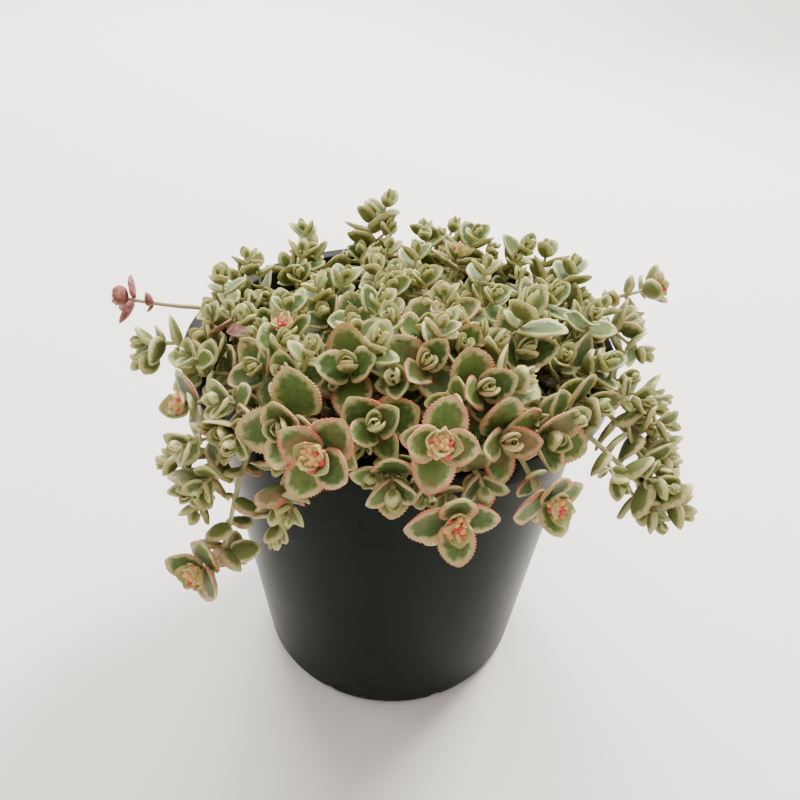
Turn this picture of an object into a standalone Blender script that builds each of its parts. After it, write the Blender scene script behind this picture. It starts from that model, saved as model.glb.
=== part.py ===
"""Potted sedum: a nursery pot, its potting mix, and the rooted shoots that fill and overhang it.

Metres, +Z up. The origin is the centre of the pot's underside. Each shoot is one closed solid: a
square stem whose side faces are drawn out into leaves, pair above pair, each pair turned a quarter
turn from the last, as the plant grows. Leaves that would meet a neighbour grow smaller or not at all.
"""

import math
import random
import zlib
from collections import namedtuple

import bmesh
import bpy
from mathutils import Matrix, Vector
from mathutils.bvhtree import BVHTree

MM = 0.001

# Pot: a tapered thin wall, a flat foot with drain slots, and a rim that turns out and down.
POT_HEIGHT = 125.0 * MM
POT_RIM_RADIUS = 65.0 * MM
POT_RIM_OVERHANG = 5.0 * MM
POT_LIP_DEPTH = 8.0 * MM
POT_FOOT_RADIUS = 48.0 * MM
POT_FOOT_ROUNDING = 4.5 * MM
POT_WALL = 1.2 * MM
POT_FLOOR = 2.0 * MM
POT_SEGMENTS = 48
DRAIN_SLOTS = 8
DRAIN_SLOT_WIDTH = 7.0 * MM
DRAIN_SLOT_HEIGHT = 4.0 * MM
DRAIN_SLOT_DEPTH = 9.0 * MM
DRAIN_FIRST_ANGLE = 291.0

# Potting mix
MIX_BELOW_RIM = 15.0 * MM
MIX_SHOULDER = 3.0 * MM
CLEARANCE = 0.3 * MM

# Shoots
STEM_WIDTH = 1.6 * MM
STEM_TIP_WIDTH = 1.0 * MM
NODE_HEIGHT = 1.1 * MM
RING_SPACING = 9.0 * MM
LEAF_LENGTH = 11.0 * MM
LEAF_WIDTH_SHARE = 0.84
LEAF_THICKNESS = 1.5 * MM
LEAF_CUP = 0.10
LARGE_LEAF = 8.5 * MM
SMALLEST_LEAF = 2.6 * MM
LEAF_FITS = (1.0, 0.86, 0.72, 0.58, 0.45)
RIM_CLEARANCE = 1.0 * MM
STEM_TRIES = 300
BUD_HEAD_WIDTH = 6.0 * MM
BUD_HEAD_HEIGHT = 5.0 * MM
SADDLE_HEIGHT = 2.6 * MM
SADDLE_REACH = 0.96
OVER_RIM_REACH = 0.98

# Leaf pairs from the tip down: length as a share of the shoot's leaf, angle from the stem in degrees,
# and the stem between them in mm. A flower head has full leaves right under it.
PAIR_LENGTHS = (0.45, 0.74, 0.98, 1.0, 0.96, 0.90, 0.85, 0.80)
PAIR_ANGLES = (26.0, 46.0, 66.0, 74.0, 78.0, 80.0, 82.0, 84.0)
PAIR_GAPS = (0.9, 1.7, 2.3, 4.0, 5.0, 5.8, 6.5, 7.0)
HEAD_PAIR_LENGTHS = (0.90, 1.0, 0.72, 0.72, 0.70, 0.70, 0.70, 0.70)
HEAD_PAIR_ANGLES = (66.0, 78.0, 76.0, 78.0, 80.0, 82.0, 84.0, 84.0)
HEAD_PAIR_GAPS = (0.6, 1.2, 5.0, 6.0, 6.5, 7.0, 7.5, 8.0)

# One line for each shoot. root: angle in degrees and share of the mix's radius. tip: angle, share of
# the rim's radius, and height above the rim in mm. pitch: the tip's slope in degrees, up positive.
# leaf: leaf length as a share of LEAF_LENGTH. pairs: leaf pairs. head: ends in flower buds.
Shoot = namedtuple("Shoot", "name root tip pitch leaf pairs head")

# Shoots that must find their way over the rim come first, so that they take the low ways out.
SHOOTS = (
    Shoot("trailing_shoot_low_left", (242, 0.93), (238, 1.34, -26), 28, 0.85, 6, True),
    Shoot("trailing_shoot_right_long", (304, 0.74), (318, 1.46, -9), 4, 0.78, 8, False),
    Shoot("trailing_shoot_left", (228, 0.93), (233, 1.25, -8), 20, 0.90, 5, False),
    Shoot("trailing_shoot_far_left", (180, 0.86), (184, 1.25, 11), 8, 0.60, 3, True),
    Shoot("trailing_shoot_far_right", (10, 0.88), (10, 1.22, 12), 18, 0.72, 4, True),
    Shoot("trailing_shoot_right_low", (324, 0.92), (325, 1.32, -6), 10, 0.85, 6, False),
    Shoot("trailing_shoot_right", (334, 0.90), (331, 1.20, 3), 25, 0.85, 5, False),
    Shoot("shoot_front_12", (280, 0.93), (280, 1.22, -1), 22, 0.90, 4, True),
    Shoot("shoot_front_13", (296, 0.93), (297, 1.22, -1), 22, 0.82, 4, True),
    Shoot("shoot_front_11", (285, 0.93), (286, 1.14, 1), -40, 0.80, 4, False),
    Shoot("shoot_front_14", (271, 0.93), (270, 1.14, 2), -15, 0.88, 4, False),
    Shoot("shoot_front_15", (249, 0.93), (249, 1.16, -9), -60, 0.75, 4, False),
    Shoot("shoot_front_3", (260, 0.86), (258, 1.19, 14), 38, 0.92, 3, True),
    Shoot("shoot_front_8", (277, 0.80), (277, 1.16, 18), 45, 0.90, 3, True),
    Shoot("shoot_front_10", (303, 0.84), (302, 1.07, 8), 35, 1.20, 4, False),
    Shoot("shoot_left_reaching", (196, 0.84), (196, 1.16, 6), 15, 0.75, 4, False),
    Shoot("shoot_left_5", (221, 0.86), (221, 1.08, 4), 30, 0.75, 3, True),
    Shoot("shoot_left_6", (234, 0.86), (236, 1.10, 6), 35, 1.05, 4, False),
    Shoot("shoot_front_2", (249, 0.84), (250, 1.12, 15), 45, 1.12, 4, False),
    Shoot("shoot_front_9", (291, 0.88), (291, 1.08, 12), 40, 1.05, 4, False),
    Shoot("shoot_front_7", (266, 0.78), (266, 1.02, 16), 45, 0.95, 4, False),
    Shoot("shoot_left_1", (167, 0.72), (169, 0.82, 12), 60, 0.80, 5, False),
    Shoot("shoot_left_2", (186, 0.66), (187, 0.86, 11), 50, 0.82, 5, False),
    Shoot("shoot_left_3", (203, 0.68), (203, 0.91, 10), 48, 0.85, 5, False),
    Shoot("shoot_left_4", (213, 0.84), (214, 1.00, 8), 40, 0.88, 4, False),
    Shoot("shoot_left_7", (215, 0.48), (216, 0.68, 16), 60, 0.88, 5, False),
    Shoot("shoot_left_8", (231, 0.66), (232, 0.87, 15), 52, 0.95, 5, False),
    Shoot("shoot_left_9", (236, 0.44), (230, 0.68, 20), 65, 0.55, 3, True),
    Shoot("shoot_front_1", (256, 0.58), (257, 0.80, 21), 58, 1.10, 5, False),
    Shoot("shoot_front_4", (242, 0.70), (242, 0.88, 18), 55, 0.88, 4, False),
    Shoot("shoot_front_5", (278, 0.60), (277, 0.79, 23), 60, 1.00, 5, False),
    Shoot("shoot_front_6", (289, 0.72), (289, 0.94, 21), 50, 1.00, 5, False),
    Shoot("shoot_middle_1", (226, 0.30), (228, 0.47, 19), 68, 0.90, 5, False),
    Shoot("shoot_middle_2", (250, 0.30), (247, 0.48, 21), 66, 0.90, 5, False),
    Shoot("shoot_middle_3", (190, 0.28), (193, 0.36, 18), 75, 0.90, 5, False),
    Shoot("shoot_middle_4", (240, 0.10), (245, 0.19, 22), 78, 0.95, 5, False),
    Shoot("shoot_middle_5", (120, 0.22), (119, 0.28, 18), 80, 0.88, 5, False),
    Shoot("shoot_middle_6", (10, 0.06), (0, 0.08, 20), 80, 0.92, 5, False),
    Shoot("shoot_middle_7", (42, 0.28), (40, 0.34, 19), 70, 0.70, 3, True),
    Shoot("shoot_middle_8", (336, 0.30), (336, 0.41, 20), 72, 0.92, 5, False),
    Shoot("shoot_middle_9", (296, 0.30), (297, 0.46, 23), 68, 1.00, 5, False),
    Shoot("shoot_middle_10", (276, 0.38), (279, 0.58, 24), 66, 1.05, 5, False),
    Shoot("shoot_middle_11", (292, 0.50), (290, 0.69, 22), 62, 1.00, 5, False),
    Shoot("shoot_middle_12", (308, 0.58), (309, 0.76, 19), 58, 1.25, 5, False),
    Shoot("shoot_middle_13", (324, 0.52), (324, 0.66, 17), 62, 1.00, 5, False),
    Shoot("shoot_back_1", (130, 0.66), (130, 0.80, 10), 60, 0.85, 5, False),
    Shoot("shoot_back_2", (104, 0.58), (105, 0.69, 22), 80, 0.92, 6, False),
    Shoot("shoot_back_3", (52, 0.46), (51, 0.54, 21), 75, 0.88, 6, False),
    Shoot("shoot_back_4", (38, 0.64), (37, 0.71, 15), 68, 0.90, 5, False),
    Shoot("shoot_back_5", (30, 0.78), (29, 0.90, 9), 45, 0.88, 4, False),
    Shoot("shoot_back_6", (76, 0.66), (76, 0.76, 12), 65, 0.90, 5, False),
    Shoot("shoot_back_7", (150, 0.60), (150, 0.68, 12), 64, 0.90, 5, False),
    Shoot("shoot_right_1", (354, 0.52), (354, 0.63, 17), 65, 0.95, 5, False),
    Shoot("shoot_right_2", (6, 0.70), (5, 0.83, 13), 55, 0.90, 5, False),
    Shoot("shoot_right_3", (356, 0.86), (355, 1.06, 9), 28, 0.88, 4, False),
    Shoot("shoot_right_4", (345, 0.72), (347, 0.88, 12), 48, 0.92, 5, False),
    Shoot("shoot_right_5", (332, 0.76), (332, 0.92, 10), 45, 0.95, 5, False),
    Shoot("shoot_right_6", (316, 0.80), (317, 1.05, 9), 30, 0.98, 4, False),
)

COLOURS = {
    "pot_plastic": ((0.018, 0.019, 0.019), 0.42),
    "potting_mix": ((0.045, 0.030, 0.020), 0.95),
    "leaf_and_stem": ((0.52, 0.56, 0.30), 0.45),
}


def material(name):
    """The named finish, made once."""
    found = bpy.data.materials.get(name)
    if found:
        return found
    colour, roughness = COLOURS[name]
    made = bpy.data.materials.new(name)
    made.use_nodes = True
    shader = made.node_tree.nodes["Principled BSDF"]
    shader.inputs["Base Color"].default_value = (*colour, 1.0)
    shader.inputs["Roughness"].default_value = roughness
    shader.inputs["Metallic"].default_value = 0.0
    return made


def add_object(name, bm, finish, smooth=True):
    """Turn a bmesh into a named object that carries a finish."""
    bmesh.ops.recalc_face_normals(bm, faces=bm.faces)
    mesh = bpy.data.meshes.new(name)
    bm.to_mesh(mesh)
    bm.free()
    if smooth:
        mesh.shade_smooth()
        mesh.set_sharp_from_angle(angle=math.radians(35.0))
    mesh.materials.append(material(finish))
    made = bpy.data.objects.new(name, mesh)
    bpy.context.collection.objects.link(made)
    return made


def lathe(profile, segments):
    """Turn a profile of (radius, height) points about Z, with a flat cap on its first and last ring."""
    bm = bmesh.new()
    rings = []
    for radius, height in profile:
        ring = []
        for i in range(segments):
            a = 2.0 * math.pi * i / segments
            ring.append(bm.verts.new((radius * math.cos(a), radius * math.sin(a), height)))
        rings.append(ring)
    for low, high in zip(rings, rings[1:]):
        for i in range(segments):
            j = (i + 1) % segments
            bm.faces.new((low[i], low[j], high[j], high[i]))
    bm.faces.new(rings[0])
    bm.faces.new(rings[-1])
    return bm


def wall_radius(height):
    """Outer radius of the pot's tapered wall at a height."""
    top = POT_RIM_RADIUS - POT_RIM_OVERHANG
    return POT_FOOT_RADIUS + (top - POT_FOOT_RADIUS) * height / POT_HEIGHT


def pot_profile():
    """The pot's section, from the centre of its underside, up outside, over the rim and down inside."""
    points = []
    for i in range(5):
        a = math.radians(-90.0 + 90.0 * i / 4)
        centre = wall_radius(POT_FOOT_ROUNDING) - POT_FOOT_ROUNDING
        points.append((centre + POT_FOOT_ROUNDING * math.cos(a), POT_FOOT_ROUNDING * (1 + math.sin(a))))
    under = POT_HEIGHT - POT_WALL
    edge = 0.35 * POT_WALL
    points.append((wall_radius(under), under))
    points.append((POT_RIM_RADIUS - POT_WALL, under))
    points.append((POT_RIM_RADIUS - POT_WALL, POT_HEIGHT - POT_LIP_DEPTH))
    points.append((POT_RIM_RADIUS - edge, POT_HEIGHT - POT_LIP_DEPTH))
    points.append((POT_RIM_RADIUS, POT_HEIGHT - POT_LIP_DEPTH + edge))
    points.append((POT_RIM_RADIUS, POT_HEIGHT - 1.5 * edge))
    points.append((POT_RIM_RADIUS - 1.5 * edge, POT_HEIGHT))
    points.append((wall_radius(POT_HEIGHT) - POT_WALL + edge, POT_HEIGHT))
    points.append((wall_radius(POT_HEIGHT) - POT_WALL, POT_HEIGHT - edge))
    low = POT_FLOOR + 2.0 * MM
    points.append((wall_radius(low) - POT_WALL, low))
    points.append((wall_radius(POT_FLOOR) - POT_WALL - 2.0 * MM, POT_FLOOR))
    return points


def add_pot():
    """The nursery pot, with drain slots cut through the edge of its foot."""
    pot = add_object("pot", lathe(pot_profile(), POT_SEGMENTS), "pot_plastic")
    for i in range(DRAIN_SLOTS):
        a = math.radians(DRAIN_FIRST_ANGLE + 360.0 * i / DRAIN_SLOTS)
        bm = bmesh.new()
        bmesh.ops.create_cone(bm, cap_ends=True, segments=12, radius1=0.5, radius2=0.5, depth=1.0)
        middle = POT_FOOT_RADIUS - 0.5 * DRAIN_SLOT_DEPTH + 1.5 * MM
        slot = add_object(f"drain_slot_{i + 1}_cutter", bm, "pot_plastic")
        slot.data.transform(
            matrix_of(
                Vector((0, DRAIN_SLOT_WIDTH, 0)),
                Vector((0, 0, 2.0 * DRAIN_SLOT_HEIGHT)),
                Vector((DRAIN_SLOT_DEPTH, 0, 0)),
            )
        )
        slot.location = (middle * math.cos(a), middle * math.sin(a), 0.0)
        slot.rotation_euler = (0.0, 0.0, a)
        slot.hide_render = True
        slot.display_type = "WIRE"
        cut = pot.modifiers.new(f"drain_slot_{i + 1}", "BOOLEAN")
        cut.operation = "DIFFERENCE"
        cut.object = slot
    return pot


def matrix_of(x_axis, y_axis, z_axis):
    """The matrix whose columns are three axes."""
    rows = [(x_axis[i], y_axis[i], z_axis[i], 0.0) for i in range(3)]
    rows.append((0.0, 0.0, 0.0, 1.0))
    return Matrix(rows)


def mix_top():
    """Height of the potting mix's surface."""
    return POT_HEIGHT - MIX_BELOW_RIM


def mix_radius():
    """Radius of the potting mix at its surface."""
    return wall_radius(mix_top()) - POT_WALL - CLEARANCE


def add_potting_mix():
    """The potting mix: it fills the pot inside the wall, with a rounded shoulder at its surface."""
    low = POT_FLOOR + 2.0 * MM
    profile = [
        (wall_radius(POT_FLOOR) - POT_WALL - 2.0 * MM - CLEARANCE, POT_FLOOR + CLEARANCE),
        (wall_radius(low) - POT_WALL - CLEARANCE, low + CLEARANCE),
        (mix_radius() - 0.2 * MM, mix_top() - MIX_SHOULDER),
        (mix_radius() - 1.2 * MM, mix_top() - 0.4 * MIX_SHOULDER),
        (mix_radius() - MIX_SHOULDER, mix_top()),
    ]
    return add_object("potting_mix", lathe(profile, POT_SEGMENTS), "potting_mix")


def polar(angle, radius, height):
    """A point from its angle in degrees, radius and height."""
    a = math.radians(angle)
    return Vector((radius * math.cos(a), radius * math.sin(a), height))


def heading(x, y, pitch):
    """The unit vector that points the way of x and y, sloped up by a pitch in degrees."""
    level = Vector((x, y, 0.0)).normalized() * math.cos(math.radians(pitch))
    return level + Vector((0.0, 0.0, math.sin(math.radians(pitch))))


def bezier(knots, t):
    """The point of a cubic curve at a parameter from 0 to 1."""
    s = 1.0 - t
    a, b, c, d = knots
    return s ** 3 * a + 3 * s * s * t * b + 3 * s * t * t * c + t ** 3 * d


class Stem:
    """A stem's centre line, measured along its length: up from the mix to the tip, and where the tip
    is outside the pot, over a saddle just above the rim."""

    SAMPLES = 36

    def __init__(self, shoot, turn, inward, lift, rng):
        angle, share = shoot.root
        radius = (share - inward) * (mix_radius() - MIX_SHOULDER - STEM_WIDTH)
        root = polar(angle + turn, radius, mix_top() + CLEARANCE)
        tip_angle, reach, height = shoot.tip
        tip = polar(tip_angle, reach * POT_RIM_RADIUS, POT_HEIGHT + height * MM)
        run = tip - root
        sway = Vector((rng.uniform(-1, 1), rng.uniform(-1, 1), 0.0)) * 0.08 * run.length
        forward = heading(run.x, run.y, shoot.pitch)
        if reach < OVER_RIM_REACH:
            rise = Vector((0, 0, 0.45 * run.length + lift))
            runs = [(root, root + rise + 0.12 * run + sway, tip - forward * 0.34 * run.length, tip)]
        else:
            saddle_height = POT_HEIGHT + max(SADDLE_HEIGHT, 0.7 * height * MM) + lift
            saddle = polar(0.7 * tip_angle + 0.3 * angle, SADDLE_REACH * POT_RIM_RADIUS, saddle_height)
            drop = tip - saddle
            slope = math.degrees(math.atan2(drop.z, math.hypot(drop.x, drop.y)))
            across = heading(drop.x, drop.y, max(-24.0, min(20.0, 0.5 * slope)))
            first = saddle - root
            bend = 0.38 * drop.length
            rise = Vector((0, 0, 0.55 * first.length))
            runs = [
                (root, root + rise + 0.5 * sway, saddle - across * 0.35 * first.length, saddle),
                (saddle, saddle + across * bend, tip - forward * bend, tip),
            ]
        self.points = [root]
        for knots in runs:
            self.points += [bezier(knots, i / self.SAMPLES) for i in range(1, self.SAMPLES + 1)]
        self.lengths = [0.0]
        for a, b in zip(self.points, self.points[1:]):
            self.lengths.append(self.lengths[-1] + (b - a).length)
        self.length = self.lengths[-1]
        self.twist = rng.uniform(0.0, 90.0)

    def at(self, distance):
        """The curve's point and direction at a distance from the root."""
        distance = min(max(distance, 0.0), self.length)
        i = 1
        while i < len(self.points) - 1 and self.lengths[i] < distance:
            i += 1
        a, b = self.points[i - 1], self.points[i]
        along = (distance - self.lengths[i - 1]) / max(self.lengths[i] - self.lengths[i - 1], 1e-9)
        return a.lerp(b, along), (b - a).normalized()

    def frames(self, distances):
        """Point, direction and two sideways axes at each distance, without sudden turns."""
        side = None
        out = []
        for distance in distances:
            point, along = self.at(distance)
            if side is None:
                side = Vector((math.cos(math.radians(self.twist)), math.sin(math.radians(self.twist)), 0.0))
            side = (side - side.dot(along) * along).normalized()
            out.append((point, along, side, along.cross(side)))
        return out


def pair_distances(shoot, stem):
    """Distances from the root at which leaf pairs stand, from the tip down, with their sizes."""
    size = shoot.leaf * LEAF_LENGTH
    lengths, angles, gaps = PAIR_LENGTHS, PAIR_ANGLES, PAIR_GAPS
    if shoot.head:
        lengths, angles, gaps = HEAD_PAIR_LENGTHS, HEAD_PAIR_ANGLES, HEAD_PAIR_GAPS
    back = 0.8 * MM
    pairs = []
    for k in range(shoot.pairs):
        back += gaps[k] * MM * (0.6 + 0.5 * shoot.leaf) + (0.6 * NODE_HEIGHT if k else 0.0)
        if back > stem.length - 4.0 * MM:
            break
        pairs.append((stem.length - back, size * lengths[k], angles[k]))
    return pairs


Leaf = namedtuple("Leaf", "node side length angle")


class ShootBody:
    """A shoot's stem rings and the leaves that stand on them."""

    def __init__(self, shoot, stem):
        self.shoot = shoot
        self.stem = stem
        self.pairs = pair_distances(shoot, stem)
        self.leaves = []
        marks = []
        for k, (distance, _, _) in enumerate(self.pairs):
            marks.append((distance - 0.5 * NODE_HEIGHT, k, "low"))
            marks.append((distance + 0.5 * NODE_HEIGHT, k, "high"))
        marks.sort()
        self.rings = []
        last = 0.0
        rows = [(0.0, None, None)]
        for mark in marks:
            steps = int((mark[0] - last) / RING_SPACING)
            for i in range(1, steps + 1):
                rows.append((last + (mark[0] - last) * i / (steps + 1), None, None))
            rows.append(mark)
            last = mark[0]
        self.rows = rows
        for row, frame in zip(rows, stem.frames([r[0] for r in rows])):
            share = row[0] / stem.length
            half = 0.5 * (STEM_WIDTH + (STEM_TIP_WIDTH - STEM_WIDTH) * share)
            self.rings.append(self.ring(frame, half))
        self.low_row = {}
        for i, row in enumerate(rows):
            if row[2] == "low":
                self.low_row[row[1]] = i
        self.cap = self.make_cap()

    @staticmethod
    def ring(frame, half):
        """Four corners of the square stem at a frame."""
        point, _, side, other = frame
        return [
            point - half * side - half * other,
            point + half * side - half * other,
            point + half * side + half * other,
            point - half * side + half * other,
        ]

    def make_cap(self):
        """Rings beyond the last leaf pair: a small bud point, or the swelling of a flower head."""
        point, along = self.stem.at(self.stem.length)
        frame = self.stem.frames([r[0] for r in self.rows] + [self.stem.length])[-1]
        if not self.shoot.head:
            return [self.ring(frame, 0.3 * STEM_TIP_WIDTH)], point + along * 0.8 * MM
        half = 0.5 * BUD_HEAD_WIDTH * 0.7
        rings = []
        for rise, share in ((0.0, 0.35), (0.35, 1.0), (0.75, 0.85)):
            centre = point + along * rise * BUD_HEAD_HEIGHT
            rings.append(self.ring((centre, frame[1], frame[2], frame[3]), half * share))
        return rings, point + along * BUD_HEAD_HEIGHT

    def side_quad(self, node, side):
        """The four corners of the stem face that a leaf grows from."""
        low = self.rings[self.low_row[node]]
        high = self.rings[self.low_row[node] + 1]
        other = (side + 1) % 4
        return low[side], low[other], high[other], high[side]

    def leaf_sections(self, leaf, grow=0.0):
        """The leaf's diamond sections and its point. grow widens it on all sides, to test its room."""
        a, b, c, d = self.side_quad(leaf.node, leaf.side)
        centre = 0.25 * (a + b + c + d)
        along = (0.5 * (c + d) - 0.5 * (a + b)).normalized()
        across = (b - a).normalized()
        out = across.cross(along).normalized()
        angle = math.radians(leaf.angle)
        forward = out * math.sin(angle) + along * math.cos(angle)
        upper = along * math.sin(angle) - out * math.cos(angle)
        sections = []
        shares = ((0.45, 1.0, 1.0),)
        if leaf.length >= LARGE_LEAF:
            shares = ((0.30, 0.86, 1.0), (0.64, 0.90, 0.85))
        for share, width, thick in shares:
            half = 0.5 * leaf.length * LEAF_WIDTH_SHARE * width + grow
            depth = 0.5 * LEAF_THICKNESS * thick * min(1.0, 0.45 + 0.06 * leaf.length / MM) + grow
            middle = centre + forward * share * leaf.length + upper * LEAF_CUP * leaf.length * share ** 2
            raised = middle + upper * LEAF_CUP * half
            left, right = raised + across * half, raised - across * half
            sections.append((middle - upper * depth, left, middle + upper * depth, right))
        point = centre + forward * (leaf.length + grow) + upper * LEAF_CUP * leaf.length
        return (a, b, c, d), sections, point

    def leaf_tree(self, leaf, grow=0.0, outer=False):
        """A search tree over a leaf's faces; outer leaves out the part that joins the stem."""
        base, sections, point = self.leaf_sections(leaf, grow)
        verts = list(base)
        for section in sections:
            verts.extend(section)
        verts.append(point)
        faces = leaf_faces(len(sections), outer)
        return Tree(verts, faces)

    def stem_tree(self, grow=0.0):
        """A search tree over the stem and its cap, widened by grow."""
        verts = []
        rings = self.rings + self.cap[0]
        for ring in rings:
            centre = sum(ring, Vector()) / 4.0
            for corner in ring:
                verts.append(corner + (corner - centre).normalized() * grow * 1.5)
        verts.append(self.cap[1] + (self.cap[1] - self.rings[-1][0]).normalized() * grow)
        faces = []
        for i in range(len(rings) - 1):
            for j in range(4):
                k = (j + 1) % 4
                faces.append((4 * i + j, 4 * i + k, 4 * i + 4 + k, 4 * i + 4 + j))
        last = 4 * (len(rings) - 1)
        for j in range(4):
            faces.append((last + j, last + (j + 1) % 4, len(verts) - 1))
        faces.append((0, 1, 2, 3))
        return Tree(verts, faces)

    def build(self):
        """The shoot as one closed mesh."""
        bm = bmesh.new()
        rings = self.rings + self.cap[0]
        corners = [[bm.verts.new(p) for p in ring] for ring in rings]
        open_faces = {}
        for leaf in self.leaves:
            open_faces[(self.low_row[leaf.node], leaf.side)] = leaf
        for i in range(len(rings) - 1):
            for j in range(4):
                k = (j + 1) % 4
                quad = (corners[i][j], corners[i][k], corners[i + 1][k], corners[i + 1][j])
                leaf = open_faces.get((i, j))
                if leaf is None:
                    bm.faces.new(quad)
                    continue
                _, sections, point = self.leaf_sections(leaf)
                verts = list(quad)
                for section in sections:
                    verts.extend(bm.verts.new(p) for p in section)
                verts.append(bm.verts.new(point))
                for face in leaf_faces(len(sections), False):
                    bm.faces.new([verts[n] for n in face])
        bm.faces.new(list(reversed(corners[0])))
        end = bm.verts.new(self.cap[1])
        for j in range(4):
            bm.faces.new((corners[-1][j], corners[-1][(j + 1) % 4], end))
        return add_object(self.shoot.name, bm, "leaf_and_stem")


def leaf_faces(sections, outer):
    """Faces of a leaf: corners 0-3 on the stem, four corners for each section, then the point."""
    faces = []
    if not outer:
        for face in ((0, 1, 4), (1, 5, 4), (1, 2, 5), (2, 6, 5), (2, 3, 6), (3, 7, 6), (3, 0, 7), (0, 4, 7)):
            faces.append(face)
    for i in range(sections - 1):
        low = 4 + 4 * i
        for j in range(4):
            k = (j + 1) % 4
            faces.append((low + j, low + k, low + 4 + k))
            faces.append((low + j, low + 4 + k, low + 4 + j))
    low = 4 * sections
    point = low + 4
    for j in range(4):
        faces.append((low + j, low + (j + 1) % 4, point))
    return faces


class Tree:
    """A search tree with its bounding box, so that far neighbours are passed over quickly."""

    def __init__(self, verts, faces):
        self.low = [min(v[i] for v in verts) for i in range(3)]
        self.high = [max(v[i] for v in verts) for i in range(3)]
        self.tree = BVHTree.FromPolygons(verts, faces, all_triangles=False)

    def meets(self, other):
        """Whether the two surfaces cross."""
        for i in range(3):
            if self.high[i] < other.low[i] or other.high[i] < self.low[i]:
                return False
        return bool(self.tree.overlap(other.tree))


def object_tree(thing):
    """A search tree over an object's mesh."""
    mesh = thing.data
    return Tree([v.co.copy() for v in mesh.vertices], [tuple(p.vertices) for p in mesh.polygons])


def clear_of(tree, others):
    """Whether a tree crosses none of the others."""
    return not any(tree.meets(other) for other in others)


def grow_stem(shoot, holder, stems):
    """The first stem for a shoot that clears the pot and the stems before it."""
    rng = random.Random(zlib.crc32(shoot.name.encode()))
    for attempt in range(STEM_TRIES):
        spread = attempt / STEM_TRIES
        turn = rng.uniform(-1.0, 1.0) * (3.0 + 45.0 * spread)
        inward = rng.uniform(0.0, 0.45 * spread)
        lift = rng.uniform(0.0, 45.0 * spread) * MM
        body = ShootBody(shoot, Stem(shoot, turn, inward, lift, rng))
        if not clear_of(body.stem_tree(RIM_CLEARANCE), holder):
            continue
        if clear_of(body.stem_tree(CLEARANCE), stems):
            return body
    raise ValueError(f"{shoot.name} has no clear way out of the pot")


def grow_leaves(bodies, solids):
    """Give each shoot its leaves, from the tips down, each as large as its room allows."""
    stems = {id(b): b.stem_tree() for b in bodies}
    grown = {id(b): [] for b in bodies}
    deepest = max(b.shoot.pairs for b in bodies)
    for k in range(deepest):
        for body in bodies:
            if k >= len(body.pairs):
                continue
            _, length, angle = body.pairs[k]
            for side in ((0, 2) if k % 2 == 0 else (1, 3)):
                add_leaf(body, k, side, length, angle, solids, stems, grown)


def add_leaf(body, k, side, length, angle, solids, stems, grown):
    """Add one leaf at the largest size that leaves its neighbours clear."""
    for fit in LEAF_FITS:
        leaf = Leaf(k, side, length * fit, angle)
        if leaf.length < SMALLEST_LEAF:
            return
        wide = body.leaf_tree(leaf, CLEARANCE)
        if not clear_of(wide, solids):
            continue
        others = [t for key, t in stems.items() if key != id(body)]
        others += [t for key, trees in grown.items() if key != id(body) for t in trees]
        if not clear_of(wide, others):
            continue
        tip = body.leaf_tree(leaf, 0.5 * CLEARANCE, outer=True)
        if clear_of(tip, grown[id(body)] + [stems[id(body)]]):
            body.leaves.append(leaf)
            grown[id(body)].append(body.leaf_tree(leaf))
            return


def clear_scene():
    """Remove everything that the scene starts with."""
    for thing in list(bpy.data.objects):
        bpy.data.objects.remove(thing, do_unlink=True)


def main():
    """Build the pot, the mix and every shoot."""
    clear_scene()
    pot = add_pot()
    mix = add_potting_mix()
    solids = [object_tree(pot), object_tree(mix)]
    bodies = []
    stems = []
    for shoot in SHOOTS:
        body = grow_stem(shoot, solids, stems)
        bodies.append(body)
        stems.append(body.stem_tree())
    grow_leaves(bodies, solids)
    for body in bodies:
        body.build()


main()
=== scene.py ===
"""Potted sedum: the looks of the pot, the potting mix and the leafy shoots.

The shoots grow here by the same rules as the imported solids, so each fine shoot stands where its
plain solid stands. Fine leaves, flower buds, crumbs of mix and finishes are added on top.
"""

import logging
import math
import random
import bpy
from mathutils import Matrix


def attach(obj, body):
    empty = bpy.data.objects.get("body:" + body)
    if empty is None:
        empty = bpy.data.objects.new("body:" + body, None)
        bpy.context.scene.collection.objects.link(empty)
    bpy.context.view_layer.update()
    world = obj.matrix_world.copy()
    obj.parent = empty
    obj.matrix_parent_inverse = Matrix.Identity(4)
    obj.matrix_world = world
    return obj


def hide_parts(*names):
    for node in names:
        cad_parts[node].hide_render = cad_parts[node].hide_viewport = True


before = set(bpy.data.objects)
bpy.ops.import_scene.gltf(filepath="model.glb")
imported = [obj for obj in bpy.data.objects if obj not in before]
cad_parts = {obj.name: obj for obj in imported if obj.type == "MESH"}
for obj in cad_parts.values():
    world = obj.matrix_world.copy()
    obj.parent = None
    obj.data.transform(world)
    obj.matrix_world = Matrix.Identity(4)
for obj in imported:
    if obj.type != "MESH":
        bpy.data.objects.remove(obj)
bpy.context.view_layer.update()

import zlib
from dataclasses import dataclass, field
from enum import Enum
from typing import Iterable, NamedTuple, Optional, Sequence

import bmesh
import bpy
import numpy as np
from mathutils import Matrix, Vector
from mathutils.bvhtree import BVHTree

MM = 0.001
GOLDEN_ANGLE = 2.399963
LOG = logging.getLogger("potted_sedum")


# --------------------------------------------------------------------------------------------------
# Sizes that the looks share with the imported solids
# --------------------------------------------------------------------------------------------------


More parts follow.
